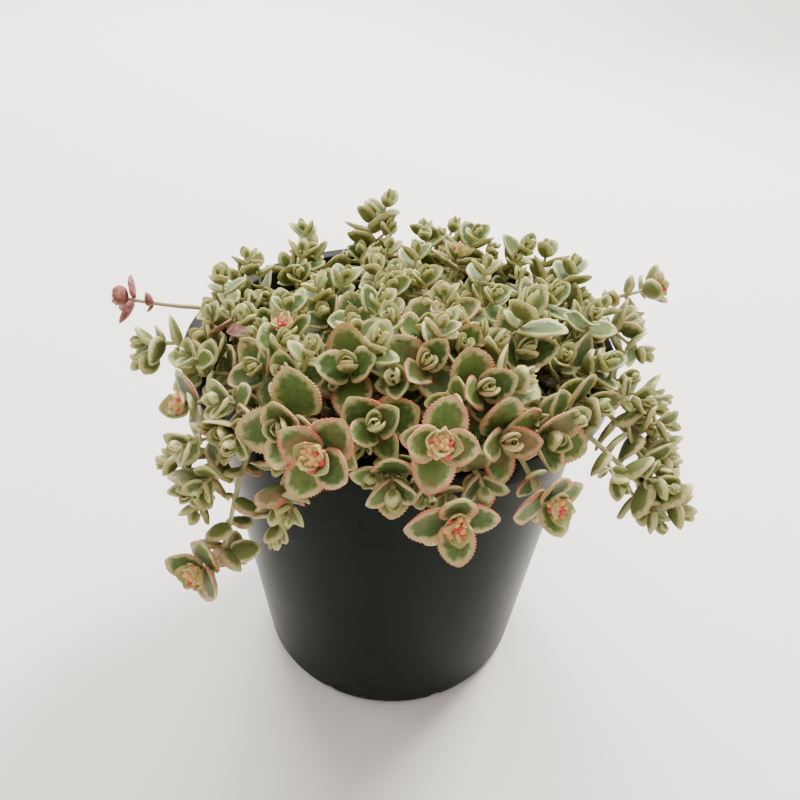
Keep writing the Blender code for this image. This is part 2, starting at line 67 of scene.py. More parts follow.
@dataclass(frozen=True)
class PotSizes:
    """The nursery pot's sizes, in metres."""

    height: float = 125.0 * MM
    rim_radius: float = 65.0 * MM
    rim_overhang: float = 5.0 * MM
    lip_depth: float = 8.0 * MM
    foot_radius: float = 48.0 * MM
    foot_rounding: float = 4.5 * MM
    wall: float = 1.2 * MM
    floor: float = 2.0 * MM
    slots: int = 8
    slot_width: float = 7.0 * MM
    slot_height: float = 4.0 * MM
    slot_depth: float = 9.0 * MM
    first_slot: float = 291.0
    mix_below_rim: float = 15.0 * MM
    mix_shoulder: float = 3.0 * MM
    clearance: float = 0.3 * MM

    def wall_radius(self, height: float) -> float:
        """Outer radius of the tapered wall at a height."""
        top = self.rim_radius - self.rim_overhang
        return self.foot_radius + (top - self.foot_radius) * height / self.height

    def mix_top(self) -> float:
        """Height of the potting mix's surface."""
        return self.height - self.mix_below_rim

    def mix_radius(self) -> float:
        """Radius of the potting mix at its surface."""
        return self.wall_radius(self.mix_top()) - self.wall - self.clearance

    def coarse_profile(self) -> list[tuple[float, float]]:
        """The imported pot's section, used to keep the shoots clear of it."""
        points = []
        for i in range(5):
            a = math.radians(-90.0 + 90.0 * i / 4)
            centre = self.wall_radius(self.foot_rounding) - self.foot_rounding
            points.append(
                (centre + self.foot_rounding * math.cos(a), self.foot_rounding * (1 + math.sin(a)))
            )
        under = self.height - self.wall
        edge = 0.35 * self.wall
        points.append((self.wall_radius(under), under))
        points.append((self.rim_radius - self.wall, under))
        points.append((self.rim_radius - self.wall, self.height - self.lip_depth))
        points.append((self.rim_radius - edge, self.height - self.lip_depth))
        points.append((self.rim_radius, self.height - self.lip_depth + edge))
        points.append((self.rim_radius, self.height - 1.5 * edge))
        points.append((self.rim_radius - 1.5 * edge, self.height))
        points.append((self.wall_radius(self.height) - self.wall + edge, self.height))
        points.append((self.wall_radius(self.height) - self.wall, self.height - edge))
        low = self.floor + 2.0 * MM
        points.append((self.wall_radius(low) - self.wall, low))
        points.append((self.wall_radius(self.floor) - self.wall - 2.0 * MM, self.floor))
        return points

    def coarse_mix_profile(self) -> list[tuple[float, float]]:
        """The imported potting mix's section."""
        low = self.floor + 2.0 * MM
        return [
            (
                self.wall_radius(self.floor) - self.wall - 2.0 * MM - self.clearance,
                self.floor + self.clearance,
            ),
            (self.wall_radius(low) - self.wall - self.clearance, low + self.clearance),
            (self.mix_radius() - 0.2 * MM, self.mix_top() - self.mix_shoulder),
            (self.mix_radius() - 1.2 * MM, self.mix_top() - 0.4 * self.mix_shoulder),
            (self.mix_radius() - self.mix_shoulder, self.mix_top()),
        ]


@dataclass(frozen=True)
class GrowthSizes:
    """The sizes that rule how a shoot grows, in metres and degrees."""

    stem_width: float = 1.6 * MM
    stem_tip_width: float = 1.0 * MM
    node_height: float = 1.1 * MM
    ring_spacing: float = 9.0 * MM
    leaf_length: float = 11.0 * MM
    leaf_width_share: float = 0.84
    leaf_thickness: float = 1.5 * MM
    leaf_cup: float = 0.10
    large_leaf: float = 8.5 * MM
    smallest_leaf: float = 2.6 * MM
    rim_clearance: float = 1.0 * MM
    stem_tries: int = 300
    head_width: float = 6.0 * MM
    head_height: float = 5.0 * MM
    saddle_height: float = 2.6 * MM
    saddle_reach: float = 0.96
    over_rim_reach: float = 0.98


LEAF_FITS = (1.0, 0.86, 0.72, 0.58, 0.45)


class TipKind(Enum):
    """How a shoot ends: its leaf pairs' lengths, angles from the stem, and gaps in mm, tip first."""

    ROSETTE = (
        (0.45, 0.74, 0.98, 1.0, 0.96, 0.90, 0.85, 0.80),
        (26.0, 46.0, 66.0, 74.0, 78.0, 80.0, 82.0, 84.0),
        (0.9, 1.7, 2.3, 4.0, 5.0, 5.8, 6.5, 7.0),
    )
    FLOWER_HEAD = (
        (0.90, 1.0, 0.72, 0.72, 0.70, 0.70, 0.70, 0.70),
        (66.0, 78.0, 76.0, 78.0, 80.0, 82.0, 84.0, 84.0),
        (0.6, 1.2, 5.0, 6.0, 6.5, 7.0, 7.5, 8.0),
    )


class ShootPlan(NamedTuple):
    """Where a shoot goes: angles in degrees, radii as shares, height above the rim in mm."""

    name: str
    root: tuple[float, float]
    tip: tuple[float, float, float]
    pitch: float
    leaf: float
    pairs: int
    head: bool


# Shoots that must find their way over the rim come first, so that they take the low ways out.
SHOOT_PLANS = (
    ShootPlan("trailing_shoot_low_left", (242, 0.93), (238, 1.34, -26), 28, 0.85, 6, True),
    ShootPlan("trailing_shoot_right_long", (304, 0.74), (318, 1.46, -9), 4, 0.78, 8, False),
    ShootPlan("trailing_shoot_left", (228, 0.93), (233, 1.25, -8), 20, 0.90, 5, False),
    ShootPlan("trailing_shoot_far_left", (180, 0.86), (184, 1.25, 11), 8, 0.60, 3, True),
    ShootPlan("trailing_shoot_far_right", (10, 0.88), (10, 1.22, 12), 18, 0.72, 4, True),
    ShootPlan("trailing_shoot_right_low", (324, 0.92), (325, 1.32, -6), 10, 0.85, 6, False),
    ShootPlan("trailing_shoot_right", (334, 0.90), (331, 1.20, 3), 25, 0.85, 5, False),
    ShootPlan("shoot_front_12", (280, 0.93), (280, 1.22, -1), 22, 0.90, 4, True),
    ShootPlan("shoot_front_13", (296, 0.93), (297, 1.22, -1), 22, 0.82, 4, True),
    ShootPlan("shoot_front_11", (285, 0.93), (286, 1.14, 1), -40, 0.80, 4, False),
    ShootPlan("shoot_front_14", (271, 0.93), (270, 1.14, 2), -15, 0.88, 4, False),
    ShootPlan("shoot_front_15", (249, 0.93), (249, 1.16, -9), -60, 0.75, 4, False),
    ShootPlan("shoot_front_3", (260, 0.86), (258, 1.19, 14), 38, 0.92, 3, True),
    ShootPlan("shoot_front_8", (277, 0.80), (277, 1.16, 18), 45, 0.90, 3, True),
    ShootPlan("shoot_front_10", (303, 0.84), (302, 1.07, 8), 35, 1.20, 4, False),
    ShootPlan("shoot_left_reaching", (196, 0.84), (196, 1.16, 6), 15, 0.75, 4, False),
    ShootPlan("shoot_left_5", (221, 0.86), (221, 1.08, 4), 30, 0.75, 3, True),
    ShootPlan("shoot_left_6", (234, 0.86), (236, 1.10, 6), 35, 1.05, 4, False),
    ShootPlan("shoot_front_2", (249, 0.84), (250, 1.12, 15), 45, 1.12, 4, False),
    ShootPlan("shoot_front_9", (291, 0.88), (291, 1.08, 12), 40, 1.05, 4, False),
    ShootPlan("shoot_front_7", (266, 0.78), (266, 1.02, 16), 45, 0.95, 4, False),
    ShootPlan("shoot_left_1", (167, 0.72), (169, 0.82, 12), 60, 0.80, 5, False),
    ShootPlan("shoot_left_2", (186, 0.66), (187, 0.86, 11), 50, 0.82, 5, False),
    ShootPlan("shoot_left_3", (203, 0.68), (203, 0.91, 10), 48, 0.85, 5, False),
    ShootPlan("shoot_left_4", (213, 0.84), (214, 1.00, 8), 40, 0.88, 4, False),
    ShootPlan("shoot_left_7", (215, 0.48), (216, 0.68, 16), 60, 0.88, 5, False),
    ShootPlan("shoot_left_8", (231, 0.66), (232, 0.87, 15), 52, 0.95, 5, False),
    ShootPlan("shoot_left_9", (236, 0.44), (230, 0.68, 20), 65, 0.55, 3, True),
    ShootPlan("shoot_front_1", (256, 0.58), (257, 0.80, 21), 58, 1.10, 5, False),
    ShootPlan("shoot_front_4", (242, 0.70), (242, 0.88, 18), 55, 0.88, 4, False),
    ShootPlan("shoot_front_5", (278, 0.60), (277, 0.79, 23), 60, 1.00, 5, False),
    ShootPlan("shoot_front_6", (289, 0.72), (289, 0.94, 21), 50, 1.00, 5, False),
    ShootPlan("shoot_middle_1", (226, 0.30), (228, 0.47, 19), 68, 0.90, 5, False),
    ShootPlan("shoot_middle_2", (250, 0.30), (247, 0.48, 21), 66, 0.90, 5, False),
    ShootPlan("shoot_middle_3", (190, 0.28), (193, 0.36, 18), 75, 0.90, 5, False),
    ShootPlan("shoot_middle_4", (240, 0.10), (245, 0.19, 22), 78, 0.95, 5, False),
    ShootPlan("shoot_middle_5", (120, 0.22), (119, 0.28, 18), 80, 0.88, 5, False),
    ShootPlan("shoot_middle_6", (10, 0.06), (0, 0.08, 20), 80, 0.92, 5, False),
    ShootPlan("shoot_middle_7", (42, 0.28), (40, 0.34, 19), 70, 0.70, 3, True),
    ShootPlan("shoot_middle_8", (336, 0.30), (336, 0.41, 20), 72, 0.92, 5, False),
    ShootPlan("shoot_middle_9", (296, 0.30), (297, 0.46, 23), 68, 1.00, 5, False),
    ShootPlan("shoot_middle_10", (276, 0.38), (279, 0.58, 24), 66, 1.05, 5, False),
    ShootPlan("shoot_middle_11", (292, 0.50), (290, 0.69, 22), 62, 1.00, 5, False),
    ShootPlan("shoot_middle_12", (308, 0.58), (309, 0.76, 19), 58, 1.25, 5, False),
    ShootPlan("shoot_middle_13", (324, 0.52), (324, 0.66, 17), 62, 1.00, 5, False),
    ShootPlan("shoot_back_1", (130, 0.66), (130, 0.80, 10), 60, 0.85, 5, False),
    ShootPlan("shoot_back_2", (104, 0.58), (105, 0.69, 22), 80, 0.92, 6, False),
    ShootPlan("shoot_back_3", (52, 0.46), (51, 0.54, 21), 75, 0.88, 6, False),
    ShootPlan("shoot_back_4", (38, 0.64), (37, 0.71, 15), 68, 0.90, 5, False),
    ShootPlan("shoot_back_5", (30, 0.78), (29, 0.90, 9), 45, 0.88, 4, False),
    ShootPlan("shoot_back_6", (76, 0.66), (76, 0.76, 12), 65, 0.90, 5, False),
    ShootPlan("shoot_back_7", (150, 0.60), (150, 0.68, 12), 64, 0.90, 5, False),
    ShootPlan("shoot_right_1", (354, 0.52), (354, 0.63, 17), 65, 0.95, 5, False),
    ShootPlan("shoot_right_2", (6, 0.70), (5, 0.83, 13), 55, 0.90, 5, False),
    ShootPlan("shoot_right_3", (356, 0.86), (355, 1.06, 9), 28, 0.88, 4, False),
    ShootPlan("shoot_right_4", (345, 0.72), (347, 0.88, 12), 48, 0.92, 5, False),
    ShootPlan("shoot_right_5", (332, 0.76), (332, 0.92, 10), 45, 0.95, 5, False),
    ShootPlan("shoot_right_6", (316, 0.80), (317, 1.05, 9), 30, 0.98, 4, False),
)


# --------------------------------------------------------------------------------------------------
# Growth: stems and leaves that keep clear of one another
# --------------------------------------------------------------------------------------------------


def polar(angle: float, radius: float, height: float) -> Vector:
    """A point from its angle in degrees, radius and height."""
    a = math.radians(angle)
    return Vector((radius * math.cos(a), radius * math.sin(a), height))


def heading(x: float, y: float, pitch: float) -> Vector:
    """The unit vector that points the way of x and y, sloped up by a pitch in degrees."""
    level = Vector((x, y, 0.0)).normalized() * math.cos(math.radians(pitch))
    return level + Vector((0.0, 0.0, math.sin(math.radians(pitch))))


def bezier(knots: Sequence[Vector], t: float) -> Vector:
    """The point of a cubic curve at a parameter from 0 to 1."""
    s = 1.0 - t
    a, b, c, d = knots
    return s ** 3 * a + 3 * s * s * t * b + 3 * s * t * t * c + t ** 3 * d


class Tree:
    """A search tree over a few faces, with the box around them."""

    def __init__(self, verts: Sequence[Vector], faces: Sequence[Sequence[int]]) -> None:
        """Build the tree.

        Args:
            verts: Corner points.
            faces: Corner numbers of each face.
        """
        self.low = [min(v[i] for v in verts) for i in range(3)]
        self.high = [max(v[i] for v in verts) for i in range(3)]
        self.tree = BVHTree.FromPolygons(verts, faces, all_triangles=False)

    def meets(self, other: "Tree") -> bool:
        """Whether the two surfaces cross."""
        for i in range(3):
            if self.high[i] < other.low[i] or other.high[i] < self.low[i]:
                return False
        return bool(self.tree.overlap(other.tree))


class Thicket:
    """Everything grown so far, kept in cells so that only near neighbours are tested."""

    CELL = 8.0 * MM

    def __init__(self, below: Optional["Thicket"] = None) -> None:
        """Start empty, or as a trial layer over another thicket."""
        self.cells: dict[tuple[int, int, int], list[tuple[int, Tree]]] = {}
        self.added: list[tuple[int, Tree]] = []
        self.below = below

    @classmethod
    def over(cls, below: "Thicket") -> "Thicket":
        """A trial layer: what is added to it leaves the thicket below as it was."""
        return cls(below)

    def cells_of(self, tree: Tree) -> Iterable[tuple[int, int, int]]:
        """The cells that a tree's box covers."""
        low = [math.floor(v / self.CELL) for v in tree.low]
        high = [math.floor(v / self.CELL) for v in tree.high]
        for x in range(low[0], high[0] + 1):
            for y in range(low[1], high[1] + 1):
                for z in range(low[2], high[2] + 1):
                    yield x, y, z

    def add(self, tree: Tree, owner: int) -> None:
        """Put a tree in, under the number of the shoot that owns it."""
        self.added.append((owner, tree))
        for cell in self.cells_of(tree):
            self.cells.setdefault(cell, []).append((owner, tree))

    def clear(self, tree: Tree, ignore: int = -1) -> bool:
        """Whether a tree crosses nothing here.

        Args:
            tree: The tree to test.
            ignore: The owner whose own trees don't count.

        Returns:
            True where the tree has room.
        """
        if self.below is not None and not self.below.clear(tree, ignore):
            return False
        seen = set()
        for cell in self.cells_of(tree):
            for owner, other in self.cells.get(cell, ()):
                if owner == ignore or id(other) in seen:
                    continue
                seen.add(id(other))
                if tree.meets(other):
                    return False
        return True


class Path:
    """A centre line through points, measured along its length."""

    def __init__(self, points: list[Vector], twist: float) -> None:
        """Measure the line.

        Args:
            points: Points from root to tip.
            twist: The turn of its first sideways axis about Z, in degrees.
        """
        self.points = points
        self.lengths = [0.0]
        for a, b in zip(points, points[1:]):
            self.lengths.append(self.lengths[-1] + (b - a).length)
        self.length = self.lengths[-1]
        self.twist = twist

    def at(self, distance: float) -> tuple[Vector, Vector]:
        """The line's point and direction at a distance from its root."""
        distance = min(max(distance, 0.0), self.length)
        i = 1
        while i < len(self.points) - 1 and self.lengths[i] < distance:
            i += 1
        a, b = self.points[i - 1], self.points[i]
        along = (distance - self.lengths[i - 1]) / max(self.lengths[i] - self.lengths[i - 1], 1e-9)
        return a.lerp(b, along), (b - a).normalized()

    def frames(self, distances: Sequence[float]) -> list[tuple[Vector, Vector, Vector, Vector]]:
        """Point, direction and two sideways axes at each distance, without sudden turns."""
        side = None
        out = []
        for distance in distances:
            point, along = self.at(distance)
            if side is None:
                side = Vector((math.cos(math.radians(self.twist)), math.sin(math.radians(self.twist)), 0.0))
            side = (side - side.dot(along) * along).normalized()
            out.append((point, along, side, along.cross(side)))
        return out


def stem_path(
    plan: ShootPlan,
    pot: PotSizes,
    sizes: GrowthSizes,
    tries: tuple[float, float, float],
    rng: random.Random,
) -> Path:
    """A shoot's centre line, from the mix to its tip.

    Args:
        plan: Where the shoot goes.
        pot: The pot that it grows in.
        sizes: The growth sizes.
        tries: Turn of the root in degrees, its shift inward, and the extra lift of the line.
        rng: The shoot's own random numbers.

    Returns:
        The line, over a saddle above the rim where the tip is outside the pot.
    """
    turn, inward, lift = tries
    angle, share = plan.root
    radius = (share - inward) * (pot.mix_radius() - pot.mix_shoulder - sizes.stem_width)
    root = polar(angle + turn, radius, pot.mix_top() + pot.clearance)
    tip_angle, reach, height = plan.tip
    tip = polar(tip_angle, reach * pot.rim_radius, pot.height + height * MM)
    run = tip - root
    sway = Vector((rng.uniform(-1, 1), rng.uniform(-1, 1), 0.0)) * 0.08 * run.length
    forward = heading(run.x, run.y, plan.pitch)
    if reach < sizes.over_rim_reach:
        rise = Vector((0, 0, 0.45 * run.length + lift))
        runs = [(root, root + rise + 0.12 * run + sway, tip - forward * 0.34 * run.length, tip)]
    else:
        saddle_height = pot.height + max(sizes.saddle_height, 0.7 * height * MM) + lift
        saddle = polar(0.7 * tip_angle + 0.3 * angle, sizes.saddle_reach * pot.rim_radius, saddle_height)
        drop = tip - saddle
        slope = math.degrees(math.atan2(drop.z, math.hypot(drop.x, drop.y)))
        across = heading(drop.x, drop.y, max(-24.0, min(20.0, 0.5 * slope)))
        first = saddle - root
        bend = 0.38 * drop.length
        rise = Vector((0, 0, 0.55 * first.length))
        runs = [
            (root, root + rise + 0.5 * sway, saddle - across * 0.35 * first.length, saddle),
            (saddle, saddle + across * bend, tip - forward * bend, tip),
        ]
    samples = 36
    points = [root]
    for knots in runs:
        points += [bezier(knots, i / samples) for i in range(1, samples + 1)]
    return Path(points, rng.uniform(0.0, 90.0))


class LeafSite(NamedTuple):
    """One leaf: its pair's number from the tip, the stem side it stands on, length and angle."""

    node: int
    side: int
    length: float
    angle: float


class Sprig:
    """A stem with its leaf pairs: a whole shoot, or a side branch of one."""

    def __init__(
        self,
        path: Path,
        sizes: GrowthSizes,
        leaf: float,
        pairs: int,
        kind: TipKind,
        width: float = 1.0,
    ) -> None:
        """Mark out the stem.

        Args:
            path: The centre line.
            sizes: The growth sizes.
            leaf: Leaf length as a share of the usual one.
            pairs: How many leaf pairs it may bear.
            kind: How it ends.
            width: Stem width as a share of the usual one.
        """
        self.path = path
        self.sizes = sizes
        self.leaf = leaf
        self.kind = kind
        self.width = width
        self.pairs = self.pair_distances(pairs)
        self.leaves: list[LeafSite] = []
        self.number = -1
        self.rows = self.mark_rows()
        self.rings = []
        for row, at in zip(self.rows, path.frames([r[0] for r in self.rows])):
            self.rings.append(self.ring(at, self.half_width(row[0])))
        self.low_row = {row[1]: i for i, row in enumerate(self.rows) if row[2] == "low"}
        self.end = path.frames([r[0] for r in self.rows] + [path.length])[-1]
        self.cap = self.make_cap()

    def half_width(self, distance: float) -> float:
        """Half the stem's width at a distance from its root."""
        wide, thin = self.sizes.stem_width, self.sizes.stem_tip_width
        return 0.5 * self.width * (wide + (thin - wide) * distance / self.path.length)

    def pair_distances(self, count: int) -> list[tuple[float, float, float]]:
        """Distance from the root, leaf length and angle of each pair, from the tip down."""
        lengths, angles, gaps = self.kind.value
        size = self.leaf * self.sizes.leaf_length
        back = 0.8 * MM
        pairs = []
        for k in range(count):
            back += gaps[k] * MM * (0.6 + 0.5 * self.leaf) + (0.6 * self.sizes.node_height if k else 0.0)
            if back > self.path.length - 4.0 * MM * self.width:
                break
            pairs.append((self.path.length - back, size * lengths[k], angles[k]))
        return pairs

    def mark_rows(self) -> list[tuple[float, Optional[int], Optional[str]]]:
        """Distances of the stem's rings: two at each node, and some along each bare stretch."""
        marks = []
        for k, (distance, _, _) in enumerate(self.pairs):
            marks.append((distance - 0.5 * self.sizes.node_height, k, "low"))
            marks.append((distance + 0.5 * self.sizes.node_height, k, "high"))
        marks.sort()
        rows: list[tuple[float, Optional[int], Optional[str]]] = [(0.0, None, None)]
        last = 0.0
        for mark in marks:
            steps = int((mark[0] - last) / self.sizes.ring_spacing)
            for i in range(1, steps + 1):
                rows.append((last + (mark[0] - last) * i / (steps + 1), None, None))
            rows.append(mark)
            last = mark[0]
        return rows

    @staticmethod
    def ring(at: tuple[Vector, Vector, Vector, Vector], half: float) -> list[Vector]:
        """Four corners of the square stem at a frame."""
        point, _, side, other = at
        return [
            point - half * side - half * other,
            point + half * side - half * other,
            point + half * side + half * other,
            point - half * side + half * other,
        ]

    def make_cap(self) -> tuple[list[list[Vector]], Vector]:
        """Rings beyond the last pair, and the end point."""
        point, along = self.path.at(self.path.length)
        if self.kind is TipKind.ROSETTE:
            return [self.ring(self.end, 0.3 * self.sizes.stem_tip_width)], point + along * 0.8 * MM
        half = 0.5 * self.sizes.head_width * 0.7
        rings = []
        for rise, share in ((0.0, 0.35), (0.35, 1.0), (0.75, 0.85)):
            centre = point + along * rise * self.sizes.head_height
            rings.append(self.ring((centre, self.end[1], self.end[2], self.end[3]), half * share))
        return rings, point + along * self.sizes.head_height

    def leaf_frame(self, site: LeafSite) -> tuple[Vector, Vector, Vector, Vector]:
        """A leaf's base point and its forward, across and upper directions."""
        a, b, c, d = self.side_quad(site.node, site.side)
        centre = 0.25 * (a + b + c + d)
        along = (0.5 * (c + d) - 0.5 * (a + b)).normalized()
        across = (b - a).normalized()
        out = across.cross(along).normalized()
        angle = math.radians(site.angle)
        forward = out * math.sin(angle) + along * math.cos(angle)
        upper = along * math.sin(angle) - out * math.cos(angle)
        return centre, forward, across, upper

    def side_quad(self, node: int, side: int) -> tuple[Vector, Vector, Vector, Vector]:
        """The four corners of the stem face that a leaf grows from."""
        low = self.rings[self.low_row[node]]
        high = self.rings[self.low_row[node] + 1]
        other = (side + 1) % 4
        return low[side], low[other], high[other], high[side]

    def leaf_tree(self, site: LeafSite, grow: float = 0.0, outer: bool = False) -> Tree:
        """A search tree over a leaf's plain shape.

        Args:
            site: The leaf.
            grow: How much wider it is made on all sides, to test its room.
            outer: Whether the part that joins the stem is left out.

        Returns:
            The tree.
        """
        centre, forward, across, upper = self.leaf_frame(site)
        length = site.length
        sections = []
        large = ((0.30, 0.86, 1.0), (0.64, 0.90, 0.85))
        for share, width, thick in large if length >= self.sizes.large_leaf else ((0.45, 1.0, 1.0),):
            half = 0.5 * length * self.sizes.leaf_width_share * width + grow
            slim = min(1.0, 0.45 + 0.06 * length / MM)
            depth = 0.5 * self.sizes.leaf_thickness * thick * slim + grow
            middle = centre + forward * share * length + upper * self.sizes.leaf_cup * length * share ** 2
            raised = middle + upper * self.sizes.leaf_cup * half
            sections.append(
                (
                    middle - upper * depth,
                    raised + across * half,
                    middle + upper * depth,
                    raised - across * half,
                )
            )
        verts = list(self.side_quad(site.node, site.side))
        for section in sections:
            verts.extend(section)
        verts.append(centre + forward * (length + grow) + upper * self.sizes.leaf_cup * length)
        return Tree(verts, plain_leaf_faces(len(sections), outer))

    def stem_tree(self, grow: float = 0.0) -> Tree:
        """A search tree over the stem and its end, widened by grow."""
        verts = []
        rings = self.rings + self.cap[0]
        for ring in rings:
            centre = sum(ring, Vector()) / 4.0
            for corner in ring:
                verts.append(corner + (corner - centre).normalized() * grow * 1.5)
        verts.append(self.cap[1] + (self.cap[1] - self.rings[-1][0]).normalized() * grow)
        faces = []
        for i in range(len(rings) - 1):
            for j in range(4):
                k = (j + 1) % 4
                faces.append((4 * i + j, 4 * i + k, 4 * i + 4 + k, 4 * i + 4 + j))
        last = 4 * (len(rings) - 1)
        for j in range(4):
            faces.append((last + j, last + (j + 1) % 4, len(verts) - 1))
        faces.append((0, 1, 2, 3))
        return Tree(verts, faces)


def plain_leaf_faces(sections: int, outer: bool) -> list[tuple[int, ...]]:
    """Faces of a plain leaf: stem corners 0-3, four corners for each section, then its point."""
    faces: list[tuple[int, ...]] = []
    if not outer:
        faces += [(0, 1, 4), (1, 5, 4), (1, 2, 5), (2, 6, 5), (2, 3, 6), (3, 7, 6), (3, 0, 7), (0, 4, 7)]
    for i in range(sections - 1):
        low = 4 + 4 * i
        for j in range(4):
            k = (j + 1) % 4
            faces.append((low + j, low + k, low + 4 + k))
            faces.append((low + j, low + 4 + k, low + 4 + j))
    low = 4 * sections
    for j in range(4):
        faces.append((low + j, low + (j + 1) % 4, low + 4))
    return faces


def lathe_tree(profile: Sequence[tuple[float, float]], segments: int) -> Tree:
    """A search tree over a profile of (radius, height) points turned about Z, capped at both ends."""
    verts = []
    for radius, height in profile:
        for i in range(segments):
            a = 2.0 * math.pi * i / segments
            verts.append(Vector((radius * math.cos(a), radius * math.sin(a), height)))
    faces: list[tuple[int, ...]] = []
    for ring in range(len(profile) - 1):
        for i in range(segments):
            j = (i + 1) % segments
            low, high = ring * segments, (ring + 1) * segments
            faces.append((low + i, low + j, high + j, high + i))
    faces.append(tuple(range(segments)))
    last = (len(profile) - 1) * segments
    faces.append(tuple(range(last, last + segments)))
    return Tree(verts, faces)


@dataclass
class Shoot:
    """A planned shoot with its main sprig and its side branches."""

    plan: ShootPlan
    main: Sprig
    branches: list[Sprig] = field(default_factory=list)


